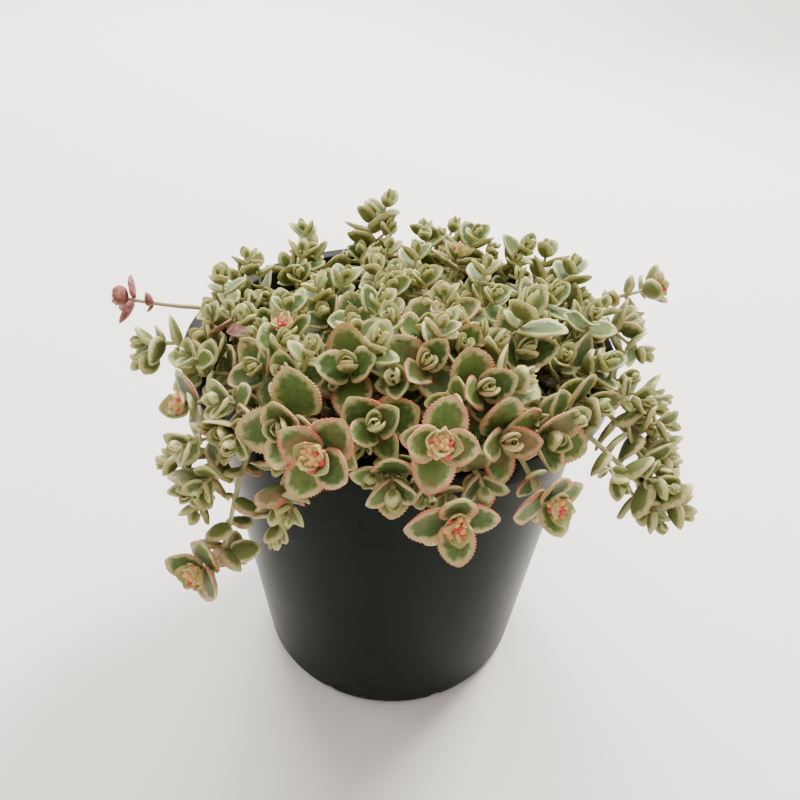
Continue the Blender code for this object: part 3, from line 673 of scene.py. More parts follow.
@dataclass
class Gardener:
    """Grows every shoot clear of the pot, the mix and the other shoots."""

    pot: PotSizes = PotSizes()
    sizes: GrowthSizes = GrowthSizes()
    branch_nodes: int = 4
    branch_tries: int = 6
    solids: list[Tree] = field(default_factory=list)
    thicket: Thicket = field(default_factory=Thicket)

    def grow(self, plans: Sequence[ShootPlan]) -> list[Shoot]:
        """Grow all the shoots.

        Args:
            plans: Where each shoot goes, in the order in which they take their room.

        Returns:
            The grown shoots.
        """
        self.solids = [
            lathe_tree(self.pot.coarse_profile(), 48),
            lathe_tree(self.pot.coarse_mix_profile(), 48),
        ]
        shoots = []
        for plan in plans:
            sprig = self.grow_stem(plan)
            sprig.number = len(shoots)
            shoots.append(Shoot(plan, sprig))
            self.thicket.add(sprig.stem_tree(), sprig.number)
        self.grow_leaves([s.main for s in shoots])
        for ring in range(self.branch_nodes):
            for shoot in shoots:
                self.grow_branches(shoot, ring)
        return shoots

    def off_solids(self, tree: Tree) -> bool:
        """Whether a tree crosses neither the pot nor the mix."""
        return not any(tree.meets(solid) for solid in self.solids)

    def grow_stem(self, plan: ShootPlan) -> Sprig:
        """The first stem that clears the pot and the stems before it."""
        rng = random.Random(zlib.crc32(plan.name.encode()))
        kind = TipKind.FLOWER_HEAD if plan.head else TipKind.ROSETTE
        for attempt in range(self.sizes.stem_tries):
            spread = attempt / self.sizes.stem_tries
            turn = rng.uniform(-1.0, 1.0) * (3.0 + 45.0 * spread)
            inward = rng.uniform(0.0, 0.45 * spread)
            lift = rng.uniform(0.0, 45.0 * spread) * MM
            path = stem_path(plan, self.pot, self.sizes, (turn, inward, lift), rng)
            sprig = Sprig(path, self.sizes, plan.leaf, plan.pairs, kind)
            if not self.off_solids(sprig.stem_tree(self.sizes.rim_clearance)):
                continue
            if self.thicket.clear(sprig.stem_tree(self.pot.clearance)):
                return sprig
        raise ValueError(f"{plan.name} has no clear way out of the pot")

    def grow_leaves(self, sprigs: Sequence[Sprig]) -> None:
        """Give each sprig its leaves, from the tips down, each as large as its room allows."""
        own = {s.number: Thicket() for s in sprigs}
        for sprig in sprigs:
            own[sprig.number].add(sprig.stem_tree(), 0)
        for k in range(max((len(s.pairs) for s in sprigs), default=0)):
            for sprig in sprigs:
                if k < len(sprig.pairs):
                    for side in (0, 2) if k % 2 == 0 else (1, 3):
                        self.grow_leaf(sprig, k, side, own[sprig.number])

    def grow_leaf(self, sprig: Sprig, k: int, side: int, own: Thicket) -> None:
        """Add one leaf at the largest size that leaves its neighbours clear."""
        _, length, angle = sprig.pairs[k]
        for fit in LEAF_FITS:
            site = LeafSite(k, side, length * fit, angle)
            if site.length < self.sizes.smallest_leaf * sprig.width:
                return
            wide = sprig.leaf_tree(site, self.pot.clearance)
            if not self.off_solids(wide) or not self.thicket.clear(wide, sprig.number):
                continue
            if own.clear(sprig.leaf_tree(site, 0.5 * self.pot.clearance, outer=True)):
                sprig.leaves.append(site)
                grown = sprig.leaf_tree(site)
                own.add(grown, 0)
                self.thicket.add(grown, sprig.number)
                return

    def grow_branches(self, shoot: Shoot, ring: int) -> None:
        """Grow side branches from one of a shoot's nodes, wherever there is room.

        Args:
            shoot: The shoot that bears them.
            ring: Which of its nodes, counted down from the tip's own rosette.
        """
        main = shoot.main
        k = ring + 2
        if k >= len(main.pairs):
            return
        rng = random.Random(zlib.crc32(f"branch {shoot.plan.name} {k}".encode()))
        for side in (0, 1, 2, 3):
            for _ in range(self.branch_tries):
                branch = self.try_branch(shoot, k, side, rng)
                if branch is not None:
                    shoot.branches.append(branch)
                    break

    def try_branch(self, shoot: Shoot, k: int, side: int, rng: random.Random) -> Optional[Sprig]:
        """One side branch from a node, or None where it would meet something.

        Args:
            shoot: The shoot that bears it.
            k: The node's number.
            side: The side of the stem that it leaves by.
            rng: The node's own random numbers.

        Returns:
            The branch with its leaves.
        """
        main = shoot.main
        distance, _, _ = main.pairs[k]
        point, along = main.path.at(distance + 0.9 * MM)
        _, forward, _, _ = main.leaf_frame(LeafSite(k, side, 1.0 * MM, 90.0))
        start = point + forward * 0.3 * MM
        out = polar(shoot.plan.tip[0], 1.0, 0.0)
        over = 0.0 if shoot.plan.head else max(0.0, min(1.0, (shoot.plan.tip[1] - 0.9) / 0.15))
        rise = Vector((0.0, 0.0, rng.uniform(0.1, 0.9) - 0.7 * over)) + out * 0.7 * over
        aim = (forward * rng.uniform(0.5, 1.2) + along * rng.uniform(0.3, 0.9) + rise).normalized()
        length = rng.uniform(6.0, 14.0) * MM * (0.7 + 0.4 * shoot.plan.leaf)
        bend = (aim + Vector((0.0, 0.0, 0.7 - 0.5 * over)) + 0.4 * out * over).normalized()
        knots = (
            start,
            start + (forward + 0.4 * along).normalized() * 0.3 * length,
            start + aim * 0.6 * length,
            start + aim * 0.6 * length + bend * 0.4 * length,
        )
        path = Path([bezier(knots, i / 14) for i in range(15)], rng.uniform(0.0, 90.0))
        share = shoot.plan.leaf * rng.uniform(0.60, 0.88)
        branch = Sprig(path, self.sizes, share, rng.choice((3, 4, 4)), TipKind.ROSETTE, 0.62)
        branch.number = 1000 + 10 * main.number + len(shoot.branches)
        tree = branch.stem_tree(0.1 * MM)
        if not self.off_solids(tree) or not self.thicket.clear(tree, main.number):
            return None
        end = path.points[-1]
        if shoot.plan.head and end.z > main.path.points[-1].z - 2.0 * MM:
            return None
        if end.to_2d().length > main.path.points[-1].to_2d().length + 4.0 * MM:
            return None
        ring = list(Sprig.ring(path.frames([0.5 * path.length])[-1], 0.6 * MM))
        tip = Tree(ring + [end + bend * 2.0 * MM], [(0, 1, 4), (1, 2, 4), (2, 3, 4), (3, 0, 4)])
        if not self.thicket.clear(tip):
            return None
        trial = self.thicket
        self.thicket = Thicket.over(trial)
        self.grow_leaves([branch])
        fresh, self.thicket = self.thicket, trial
        if len(branch.leaves) < 5:
            return None
        for owner, grown in fresh.added:
            self.thicket.add(grown, owner)
        self.thicket.add(branch.stem_tree(), branch.number)
        return branch


# --------------------------------------------------------------------------------------------------
# Fine leaves, stems and buds
# --------------------------------------------------------------------------------------------------


class Finish(Enum):
    """The material slots of a shoot's mesh."""

    LEAF = 0
    STEM = 1
    BUD = 2


@dataclass(frozen=True)
class Tint:
    """How one leaf, stem or bud differs from its fellows; every share runs from 0 to 1."""

    pale: float = 0.0
    blush: float = 0.0
    tone: float = 0.5
    dry: float = 0.0

    def row(self) -> np.ndarray:
        """The four shares as an array."""
        return np.array((self.pale, self.blush, self.tone, self.dry), dtype=np.float32)


class MeshKit:
    """Gathers closed tubes and shells, then makes one mesh object of them."""

    def __init__(self) -> None:
        """Start empty."""
        self.points: list[np.ndarray] = []
        self.look: list[np.ndarray] = []
        self.tint: list[np.ndarray] = []
        self.shells: list[tuple[int, int, int, Finish]] = []
        self.count = 0

    def add(self, grid: np.ndarray, look: np.ndarray, tint: Tint, finish: Finish) -> None:
        """Add a closed shell made of rings.

        Args:
            grid: Points, as rings by corners by 3.
            look: Four painted values for each point, as rings by corners by 4.
            tint: What sets this shell apart.
            finish: Its material slot.
        """
        rings, corners = grid.shape[:2]
        self.points.append(grid.reshape(-1, 3).astype(np.float32))
        self.look.append(look.reshape(-1, 4).astype(np.float32))
        self.tint.append(np.repeat(tint.row()[None, :], rings * corners, axis=0))
        self.shells.append((self.count, rings, corners, finish))
        self.count += rings * corners

    def build(self, name: str, materials: Sequence[bpy.types.Material]) -> bpy.types.Object:
        """Make the object.

        Args:
            name: The object's name.
            materials: One material for each slot of Finish.

        Returns:
            The linked object.
        """
        loops: list[np.ndarray] = []
        sizes: list[np.ndarray] = []
        slots: list[np.ndarray] = []
        uvs: list[np.ndarray] = []
        side = math.ceil(math.sqrt(len(self.shells)))
        for index, (start, rings, corners, finish) in enumerate(self.shells):
            i, j = np.meshgrid(np.arange(rings - 1), np.arange(corners), indexing="ij")
            k = (j + 1) % corners
            near, far = i * corners, (i + 1) * corners
            quads = np.stack((near + j, near + k, far + k, far + j), -1)
            first, last = np.arange(corners)[::-1], (rings - 1) * corners + np.arange(corners)
            loops += [quads.reshape(-1) + start, first + start, last + start]
            sizes += [np.full(quads.size // 4, 4), np.array((corners, corners))]
            slots.append(np.full(quads.size // 4 + 2, finish.value))
            u = np.stack((j, j + 1, j + 1, j), -1) / corners
            v = np.stack((i, i, i + 1, i + 1), -1) / (rings - 1)
            cell = np.stack((u, v), -1).reshape(-1, 2)
            ring = np.arange(corners) / corners
            low = np.stack((ring[::-1], np.zeros(corners)), -1)
            high = np.stack((ring, np.ones(corners)), -1)
            corner = np.array((index % side, index // side), dtype=float)
            uvs.append((np.concatenate((cell, low, high)) * 0.92 + 0.04 + corner) / side)
        corner_numbers = np.concatenate(loops).astype(np.int32)
        counts = np.concatenate(sizes).astype(np.int32)
        mesh = bpy.data.meshes.new(name)
        mesh.vertices.add(self.count)
        mesh.vertices.foreach_set("co", np.concatenate(self.points).ravel())
        mesh.loops.add(len(corner_numbers))
        mesh.loops.foreach_set("vertex_index", corner_numbers)
        mesh.polygons.add(len(counts))
        starts = np.concatenate(([0], np.cumsum(counts)[:-1])).astype(np.int32)
        mesh.polygons.foreach_set("loop_start", starts)
        mesh.polygons.foreach_set("material_index", np.concatenate(slots).astype(np.int32))
        mesh.update(calc_edges=True)
        for label, rows in (("look", self.look), ("tint", self.tint)):
            painted = mesh.attributes.new(label, "FLOAT_COLOR", "POINT")
            painted.data.foreach_set("color", np.concatenate(rows).ravel())
        layer = mesh.uv_layers.new(name="OFBake")
        layer.data.foreach_set("uv", np.concatenate(uvs).astype(np.float32).ravel())
        mesh.validate()
        mesh.shade_smooth()
        for item in materials:
            mesh.materials.append(item)
        made = bpy.data.objects.new(name, mesh)
        bpy.context.collection.objects.link(made)
        return made


@dataclass(frozen=True)
class LeafForm:
    """The shape of one fine leaf, as shares of its length or width unless it says otherwise."""

    length: float
    half_width: float
    thickness: float
    cup: float = 0.3
    curl: float = 0.12
    base: float = 0.2
    wave: float = 0.04
    groove: float = 0.05
    teeth: int = 0
    tooth: float = 0.0
    rings: int = 22
    corners: int = 16
    phase: float = 0.0


class LeafShell:
    """Turns a leaf's form and frame into a closed shell of rings."""

    @staticmethod
    def outline(u: np.ndarray, base: float) -> np.ndarray:
        """The half-width along the leaf, as a share of the widest: broad, with a pointed tip."""
        body = np.sin(np.pi * np.clip(u, 0.0, 1.0) ** 0.80) ** (0.50 + 0.16 * u ** 2)
        stalk = base * np.clip(1.0 - u / 0.35, 0.0, 1.0) ** 1.5
        return np.maximum(body, 0.0) + stalk

    @classmethod
    def add(
        cls,
        kit: MeshKit,
        frame_axes: tuple[Vector, Vector, Vector, Vector],
        form: LeafForm,
        tint: Tint,
    ) -> None:
        """Add one leaf.

        Args:
            kit: Where the shell goes.
            frame_axes: Base point, forward, across and upper directions.
            form: The leaf's shape.
            tint: The leaf's colouring.
        """
        rings, corners = form.rings, form.corners
        u = np.linspace(0.0, 1.0, rings) ** 0.92
        u = np.concatenate((u[:-1], (0.992,)))
        angle = 2.0 * np.pi * (np.arange(corners) + 0.5) / corners
        if form.teeth:
            angle = 2.0 * np.pi * np.arange(corners) / corners
        across = np.cos(angle)
        rise = np.sin(angle)
        width = form.half_width * cls.outline(u, form.base)
        saw = np.zeros(rings)
        if form.teeth:
            run = (u * form.teeth) % 1.0
            saw = np.clip(1.0 - np.abs(run - 0.62) / 0.38, 0.0, 1.0) ** 1.3
            saw *= np.clip((u - 0.16) / 0.12, 0.0, 1.0) * np.clip((0.975 - u) / 0.05, 0.0, 1.0)
        at_edge = np.abs(across) ** 9
        lateral = width[:, None] * across[None, :]
        lateral += np.sign(across)[None, :] * at_edge[None, :] * (saw * form.tooth * form.half_width)[:, None]
        thick = form.thickness * np.clip(1.0 - u ** 2.6, 0.0, 1.0) ** 0.6 * (0.72 + 0.28 * np.sin(np.pi * u))
        thick = np.minimum(thick, 1.1 * width + 0.02 * form.thickness)
        top = 0.42 * thick[:, None] * np.clip(rise, 0.0, 1.0)[None, :] ** 0.8
        below = 0.75 * thick[:, None] * np.clip(-rise, 0.0, 1.0)[None, :] ** 0.9
        height = top - below
        spread = np.abs(across)[None, :]
        height += form.cup * width[:, None] * spread ** 2.3
        dent = np.exp(-((across / 0.20) ** 2))[None, :] * np.clip(rise, 0.0, 1.0)[None, :]
        groove = form.groove * form.half_width * dent
        height -= groove * (1.0 - 0.7 * u)[:, None] * np.clip(u / 0.15, 0, 1)[:, None]
        ripple = np.sin(9.0 * u[:, None] + form.phase + 2.2 * np.sign(across)[None, :])
        height += form.wave * form.half_width * ripple * spread ** 3 * np.sin(np.pi * u)[:, None]
        bend = form.curl * u ** 2.0
        forward_run = form.length * (u - 0.35 * np.abs(form.curl) * u ** 3)
        lift = form.length * bend
        base, forward, side, upper = (np.array(v) for v in frame_axes)
        slope = 2.0 * form.curl * u
        norm = np.sqrt(1.0 + slope ** 2)
        local_up = (upper[None, :] - slope[:, None] * forward[None, :]) / norm[:, None]
        spine = base[None, :] + forward_run[:, None] * forward[None, :] + lift[:, None] * upper[None, :]
        grid = spine[:, None, :] + lateral[..., None] * side + height[..., None] * local_up[:, None, :]
        inward = np.minimum(
            (width[:, None] * (1.0 - spread)) / form.half_width,
            0.72 * form.length * (1.0 - u)[:, None] / form.half_width + 0.0 * spread,
        )
        look = np.zeros((rings, corners, 4))
        look[..., 0] = 1.0 - np.clip(inward, 0.0, 1.0)
        look[..., 1] = u[:, None]
        look[..., 2] = np.clip(-1.6 * rise[None, :] + 0.25, 0.0, 1.0) + 0.0 * u[:, None]
        look[..., 3] = at_edge[None, :] * saw[:, None]
        kit.add(grid, look, tint, Finish.LEAF)


class TubeShell:
    """Turns a centre line into a closed round tube."""

    @staticmethod
    def add(
        kit: MeshKit,
        rows: Sequence[tuple[Vector, Vector, Vector, Vector]],
        radii: Sequence[float],
        tint: Tint,
        corners: int = 10,
        nodes: Sequence[float] = (),
    ) -> None:
        """Add one tube.

        Args:
            kit: Where the shell goes.
            rows: Point, direction and two sideways axes of each ring.
            radii: Radius of each ring.
            tint: The stem's colouring.
            corners: Sides of the tube.
            nodes: How near each ring is to a leaf node, from 0 to 1.
        """
        angle = 2.0 * np.pi * np.arange(corners) / corners
        centre = np.array([r[0] for r in rows])
        one = np.array([r[2] for r in rows])
        two = np.array([r[3] for r in rows])
        radius = np.array(radii)[:, None, None]
        ring = np.cos(angle)[None, :, None] * one[:, None, :] + np.sin(angle)[None, :, None] * two[:, None, :]
        grid = centre[:, None, :] + radius * ring
        look = np.zeros((len(rows), corners, 4))
        look[..., 0] = np.array(nodes)[:, None] if len(nodes) else 0.0
        look[..., 1] = np.linspace(0.0, 1.0, len(rows))[:, None]
        kit.add(grid, look, tint, Finish.STEM)


class BudShell:
    """A small pointed flower bud."""

    @staticmethod
    def add(kit: MeshKit, base: Vector, way: Vector, radius: float, length: float, tint: Tint) -> None:
        """Add one bud.

        Args:
            kit: Where the shell goes.
            base: Where the bud starts.
            way: The direction that it points in.
            radius: Its widest radius.
            length: Its length.
            tint: Its colouring; blush turns it red.
        """
        rings, corners = 9, 10
        u = np.linspace(0.02, 0.985, rings)
        angle = 2.0 * np.pi * np.arange(corners) / corners
        side = np.array(way.orthogonal().normalized())
        other = np.cross(np.array(way), side)
        profile = radius * np.sin(np.pi * u ** 0.72) ** 0.72 + 0.25 * radius * (1 - u)
        lobes = 1.0 + 0.10 * np.cos(5.0 * angle)[None, :] * u[:, None]
        ring = np.cos(angle)[:, None] * side + np.sin(angle)[:, None] * other
        spine = np.array(base)[None, :] + (u * length)[:, None] * np.array(way)[None, :]
        grid = spine[:, None, :] + (profile[:, None] * lobes)[..., None] * ring[None, :, :]
        look = np.zeros((rings, corners, 4))
        look[..., 0] = 0.5 + 0.5 * np.cos(5.0 * angle)[None, :] + 0.0 * u[:, None]
        look[..., 1] = u[:, None]
        kit.add(grid, look, tint, Finish.BUD)


@dataclass
class Foliage:
    """Clothes the grown shoots in fine leaves, stems and buds."""

    sizes: GrowthSizes
    leaf_gain: float = 1.10
    width_gain: float = 1.10

    def dress(self, shoot: Shoot, materials: Sequence[bpy.types.Material]) -> bpy.types.Object:
        """Make one shoot's object.

        Args:
            shoot: The grown shoot.
            materials: The leaf, stem and bud finishes.

        Returns:
            The object, which stands for the shoot's solid.
        """
        kit = MeshKit()
        rng = random.Random(zlib.crc32(("leaves " + shoot.plan.name).encode()))
        dried = 1.0 if shoot.plan.name == "trailing_shoot_far_left" else 0.0
        blush = self.blush_of(shoot, rng)
        self.add_sprig(kit, shoot.main, rng, blush, dried, True)
        for branch in shoot.branches:
            self.add_sprig(kit, branch, rng, 0.5 * blush, 0.0, False)
        if dried:
            self.add_dried_head(kit, shoot.main, rng)
        elif shoot.plan.head:
            self.add_head(kit, shoot.main, rng)
        return kit.build(shoot.plan.name, materials)

    @staticmethod
    def blush_of(shoot: Shoot, rng: random.Random) -> float:
        """How pink a shoot's leaf margins are: most on the sunny front and on flower heads."""
        angle, reach, _ = shoot.plan.tip
        front = max(0.0, math.cos(math.radians(angle - 268.0)))
        pink = 0.15 + 0.75 * front ** 3 * min(1.0, reach) + rng.uniform(-0.08, 0.12)
        return min(1.0, max(0.05, pink + (0.25 if shoot.plan.head else 0.0)))

    def add_sprig(
        self, kit: MeshKit, sprig: Sprig, rng: random.Random, blush: float, dried: float, main: bool
    ) -> None:
        """Add a sprig's stem and leaves.

        Args:
            kit: Where the shells go.
            sprig: The stem with its leaf sites.
            rng: The shoot's own random numbers.
            blush: How pink the margins are.
            dried: Whether the leaves are dry, from 0 to 1.
            main: Whether this is a shoot's main stem.
        """
        path = sprig.path
        self.add_stem(kit, sprig, rng, dried, main)
        hero = main and (path.points[-1].y < -0.030)
        for site in sprig.leaves:
            mature = min(1.0, max(0.0, (site.length / MM - 2.2) / 5.5))
            tip = sprig.pairs[site.node][0] / path.length
            tint = Tint(
                pale=min(1.0, max(0.0, 1.0 - mature + rng.uniform(-0.25, 0.15))),
                blush=min(1.0, blush * (0.35 + 0.65 * mature) * rng.uniform(0.5, 1.25)),
                tone=rng.random(),
                dry=max(dried, 0.85 if tip < 0.5 and rng.random() < 0.05 else 0.0),
            )
            big = site.length > 8.0 * MM
            teeth = int(7 + 0.8 * site.length / MM) if big and hero else 0
            half_width = 0.5 * site.length * self.sizes.leaf_width_share * self.width_gain
            closed = 0.12 if site.node < 2 and sprig.kind is TipKind.ROSETTE else 0.0
            form = LeafForm(
                length=site.length * self.leaf_gain * rng.uniform(0.95, 1.06),
                half_width=half_width * rng.uniform(0.90, 1.10),
                thickness=self.sizes.leaf_thickness * min(1.0, 0.45 + 0.06 * site.length / MM) * 1.05,
                cup=rng.uniform(0.10, 0.32) + closed,
                curl=rng.uniform(-0.04, 0.16) + (0.08 if site.node < 1 else -0.06),
                wave=rng.uniform(0.02, 0.08),
                teeth=teeth,
                tooth=0.12 if teeth else 0.0,
                rings=4 * teeth + 4 if teeth else (22 if site.length > 4.5 * MM else 13),
                corners=24 if teeth else (16 if site.length > 4.5 * MM else 12),
                phase=rng.uniform(0.0, 6.2),
            )
            axes = self.turned(sprig.leaf_frame(site), rng, 7.0)
            LeafShell.add(kit, axes, form, tint)
        if sprig.kind is TipKind.ROSETTE:
            self.add_apex(kit, sprig, rng, blush, dried)

    @staticmethod
    def turned(
        axes: tuple[Vector, Vector, Vector, Vector], rng: random.Random, most: float
    ) -> tuple[Vector, Vector, Vector, Vector]:
        """A leaf frame, rolled, swung and tipped by small random angles up to a limit in degrees."""
        base, forward, across, upper = axes
        turn = Matrix.Rotation(math.radians(rng.uniform(-most, most)), 3, upper)
        turn = Matrix.Rotation(math.radians(rng.uniform(-most, most)), 3, forward) @ turn
        turn = Matrix.Rotation(math.radians(rng.uniform(-most, 0.6 * most)), 3, across) @ turn
        return base, turn @ forward, turn @ across, turn @ upper

    def add_apex(self, kit: MeshKit, sprig: Sprig, rng: random.Random, blush: float, dried: float) -> None:
        """Add the two youngest leaves, folded together over the growing point.

        Args:
            kit: Where the shells go.
            sprig: The stem that they end.
            rng: The shoot's own random numbers.
            blush: How pink the margins are.
            dried: Whether the leaves are dry, from 0 to 1.
        """
        point, along, side, other = sprig.end
        size = sprig.leaf * self.sizes.leaf_length
        for share, tilt, turned in ((0.30, 14.0, 1), (0.19, 8.0, 0)):
            first = other if turned else side
            for sign in (-1.0, 1.0):
                out = (first * sign).normalized()
                a = math.radians(tilt + rng.uniform(-3.0, 5.0))
                forward = (out * math.sin(a) + along * math.cos(a)).normalized()
                upper = (along * math.sin(a) - out * math.cos(a)).normalized()
                base = point + out * (0.35 + 1.2 * share) * MM - along * 0.4 * MM
                form = LeafForm(
                    length=share * size * rng.uniform(0.95, 1.15),
                    half_width=0.45 * share * size,
                    thickness=0.8 * MM * (0.5 + share),
                    cup=0.55,
                    curl=0.25,
                    rings=12,
                    corners=12,
                )
                tint = Tint(pale=rng.uniform(0.75, 1.0), blush=0.3 * blush, tone=rng.random(), dry=dried)
                LeafShell.add(kit, (base, forward, upper.cross(forward), upper), form, tint)

    def add_stem(self, kit: MeshKit, sprig: Sprig, rng: random.Random, dried: float, main: bool) -> None:
        """Add the round stem, a little swollen at each node.

        Args:
            kit: Where the shell goes.
            sprig: The stem.
            rng: The shoot's own random numbers.
            dried: Whether the stem is dry, from 0 to 1.
            main: Whether this is a shoot's main stem.
        """
        path = sprig.path
        step = (1.0 if main else 0.8) * MM
        count = max(6, int(path.length / step))
        start = -1.5 * MM if main else -0.2 * MM
        distances = [path.length * i / count for i in range(count + 1)]
        rows = path.frames(distances)
        near = []
        radii = []
        for distance in distances:
            swell = sum(math.exp(-(((distance - p[0]) / (0.7 * MM)) ** 2)) for p in sprig.pairs)
            near.append(min(1.0, swell))
            radii.append(1.08 * sprig.half_width(distance) * (1.0 + 0.22 * min(1.0, swell)))
        point, along, side, other = rows[0]
        rows.insert(0, (point + along * start, along, side, other))
        near.insert(0, 0.0)
        radii.insert(0, radii[0])
        point, along, side, other = rows[-1]
        rows.append((point + along * 0.5 * MM, along, side, other))
        near.append(0.0)
        radii.append(0.35 * radii[-1])
        tint = Tint(pale=0.2 if main else 0.8, blush=rng.uniform(0.0, 0.8), tone=rng.random(), dry=dried)
        TubeShell.add(kit, rows, radii, tint, 10 if main else 8, near)

    def add_dried_head(self, kit: MeshKit, sprig: Sprig, rng: random.Random) -> None:
        """Add a spent flower head: a small knot of dark red florets.

        Args:
            kit: Where the shells go.
            sprig: The stem that bears it.
            rng: The shoot's own random numbers.
        """
        point, along, side, other = sprig.end
        for i in range(14):
            turn = GOLDEN_ANGLE * i
            tilt = math.radians(80.0 * math.sqrt((i + 0.4) / 14))
            out = math.cos(turn) * side + math.sin(turn) * other
            way = (along * math.cos(tilt) + out * math.sin(tilt)).normalized()
            base = point + along * 0.6 * MM + way * 0.7 * MM
            tint = Tint(blush=1.0, tone=rng.random(), dry=rng.uniform(0.35, 0.8))
            BudShell.add(kit, base, way, rng.uniform(0.45, 0.70) * MM, rng.uniform(1.6, 2.6) * MM, tint)

    def add_head(self, kit: MeshKit, sprig: Sprig, rng: random.Random) -> None:
        """Add a flower head: two pairs of small cream bracts round a dome of buds.

        Args:
            kit: Where the shells go.
            sprig: The stem that bears it.
            rng: The shoot's own random numbers.
        """
        point, along, side, other = sprig.end
        gain = 0.72 + 0.30 * sprig.leaf
        for pair, (length, tilt) in enumerate(((5.6, 52.0), (4.6, 40.0))):
            first = other if pair == 0 else side
            for sign in (-1.0, 1.0):
                out = (first * sign).normalized()
                a = math.radians(tilt + rng.uniform(-6.0, 6.0))
                forward = (out * math.sin(a) + along * math.cos(a)).normalized()
                upper = (along * math.sin(a) - out * math.cos(a)).normalized()
                form = LeafForm(
                    length=length * MM * gain * rng.uniform(0.92, 1.08),
                    half_width=0.47 * length * MM * gain,
                    thickness=0.9 * MM,
                    cup=0.50,
                    curl=0.14,
                    wave=0.06,
                    teeth=7,
                    tooth=0.12,
                    rings=30,
                    corners=20,
                    phase=rng.uniform(0.0, 6.2),
                )
                tint = Tint(pale=rng.uniform(0.85, 1.0), blush=rng.uniform(0.25, 0.55), tone=rng.random())
                base = point + out * 0.5 * MM + along * (0.2 + 0.6 * pair) * MM
                LeafShell.add(kit, (base, forward, upper.cross(forward), upper), form, tint)
        buds = rng.randint(15, 19)
        red_side = rng.uniform(0.0, 6.2)
        for i in range(buds):
            share = math.sqrt((i + 0.4) / buds)
            turn = GOLDEN_ANGLE * i + red_side
            out = math.cos(turn) * side + math.sin(turn) * other
            tilt = math.radians(60.0 * share)
            way = (along * math.cos(tilt) + out * math.sin(tilt)).normalized()
            base = point + along * (1.3 + 1.1 * math.cos(tilt)) * MM * gain + out * 2.1 * share * MM * gain
            red = 1.0 if rng.random() < 0.28 else rng.uniform(0.0, 0.50)
            length = rng.uniform(1.5, 2.3) * MM * gain
            tint = Tint(pale=rng.uniform(0.0, 1.0), blush=red, tone=rng.random())
            BudShell.add(kit, base, way, rng.uniform(0.62, 0.86) * MM * gain, length, tint)


# --------------------------------------------------------------------------------------------------
# Finishes
# --------------------------------------------------------------------------------------------------


Colour = tuple[float, float, float]
Socket = bpy.types.NodeSocket


class Graph:
    """Short calls that add and join the shader nodes of one tree."""

    def __init__(self, tree: bpy.types.NodeTree) -> None:
        """Work on a tree."""
        self.tree = tree

    def put(self, value: object, socket: Socket) -> None:
        """Join a socket to another, or set its number or colour."""
        if isinstance(value, bpy.types.NodeSocket):
            self.tree.links.new(value, socket)
        elif isinstance(value, tuple) and len(value) == 3 and socket.type == "RGBA":
            socket.default_value = (*value, 1.0)
        else:
            socket.default_value = value

    def node(self, kind: str, inputs: Optional[dict] = None, **settings: object) -> bpy.types.Node:
        """Add a node.

        Args:
            kind: The node's type, without the ShaderNode at its start.
            inputs: Values or sockets by input name or number.
            **settings: The node's own properties.

        Returns:
            The node.
        """
        made = self.tree.nodes.new("ShaderNode" + kind)
        for key, value in settings.items():
            setattr(made, key, value)
        for key, value in (inputs or {}).items():
            self.put(value, made.inputs[key])
        return made

    def math(self, operation: str, a: object, b: object = 0.0, clamp: bool = False) -> Socket:
        """One sum, product or other operation on two values."""
        return self.node("Math", {0: a, 1: b}, operation=operation, use_clamp=clamp).outputs[0]

    def times(self, a: object, b: object, clamp: bool = False) -> Socket:
        """The product of two values."""
        return self.math("MULTIPLY", a, b, clamp)

    def plus(self, a: object, b: object, clamp: bool = False) -> Socket:
        """The sum of two values."""
        return self.math("ADD", a, b, clamp)

    def smooth(self, value: object, low: float, high: float, start: float = 0.0, end: float = 1.0) -> Socket:
        """A smooth step from start to end as a value goes from low to high."""
        inputs = {"Value": value, "From Min": low, "From Max": high, "To Min": start, "To Max": end}
        return self.node("MapRange", inputs, interpolation_type="SMOOTHSTEP").outputs[0]

    def mix(self, factor: object, a: object, b: object) -> Socket:
        """A blend of two colours."""
        made = self.node("Mix", data_type="RGBA", clamp_factor=True)
        self.put(factor, made.inputs[0])
        self.put(a, made.inputs[6])
        self.put(b, made.inputs[7])
        return made.outputs[2]

    def noise(self, vector: Socket, scale: object, detail: float = 3.0, roughness: float = 0.5) -> Socket:
        """A noise value round one half."""
        inputs = {"Vector": vector, "Scale": scale, "Detail": detail, "Roughness": roughness}
        return self.node("TexNoise", inputs).outputs["Fac"]

    def split(self, name: str) -> tuple[Socket, Socket, Socket, Socket]:
        """The four painted values of a mesh attribute."""
        read = self.node("Attribute", attribute_name=name)
        parts = self.node("SeparateXYZ", {0: read.outputs["Vector"]})
        return parts.outputs[0], parts.outputs[1], parts.outputs[2], read.outputs["Alpha"]


def new_group(
    name: str, takes: dict[str, str], gives: dict[str, str]
) -> tuple[bpy.types.NodeTree, Graph, dict, dict]:
    """Start a shader node group.

    Args:
        name: The group's name.
        takes: Input names and socket types.
        gives: Output names and socket types.

    Returns:
        The tree, a graph on it, its inner input sockets and its inner output sockets by name.
    """
    tree = bpy.data.node_groups.new(name, "ShaderNodeTree")
    for label, kind in takes.items():
        tree.interface.new_socket(label, in_out="INPUT", socket_type=kind)
    for label, kind in gives.items():
        tree.interface.new_socket(label, in_out="OUTPUT", socket_type=kind)
    start = tree.nodes.new("NodeGroupInput")
    end = tree.nodes.new("NodeGroupOutput")
    sockets = {label: start.outputs[label] for label in takes}
    ends = {label: end.inputs[label] for label in gives}
    return tree, Graph(tree), sockets, ends


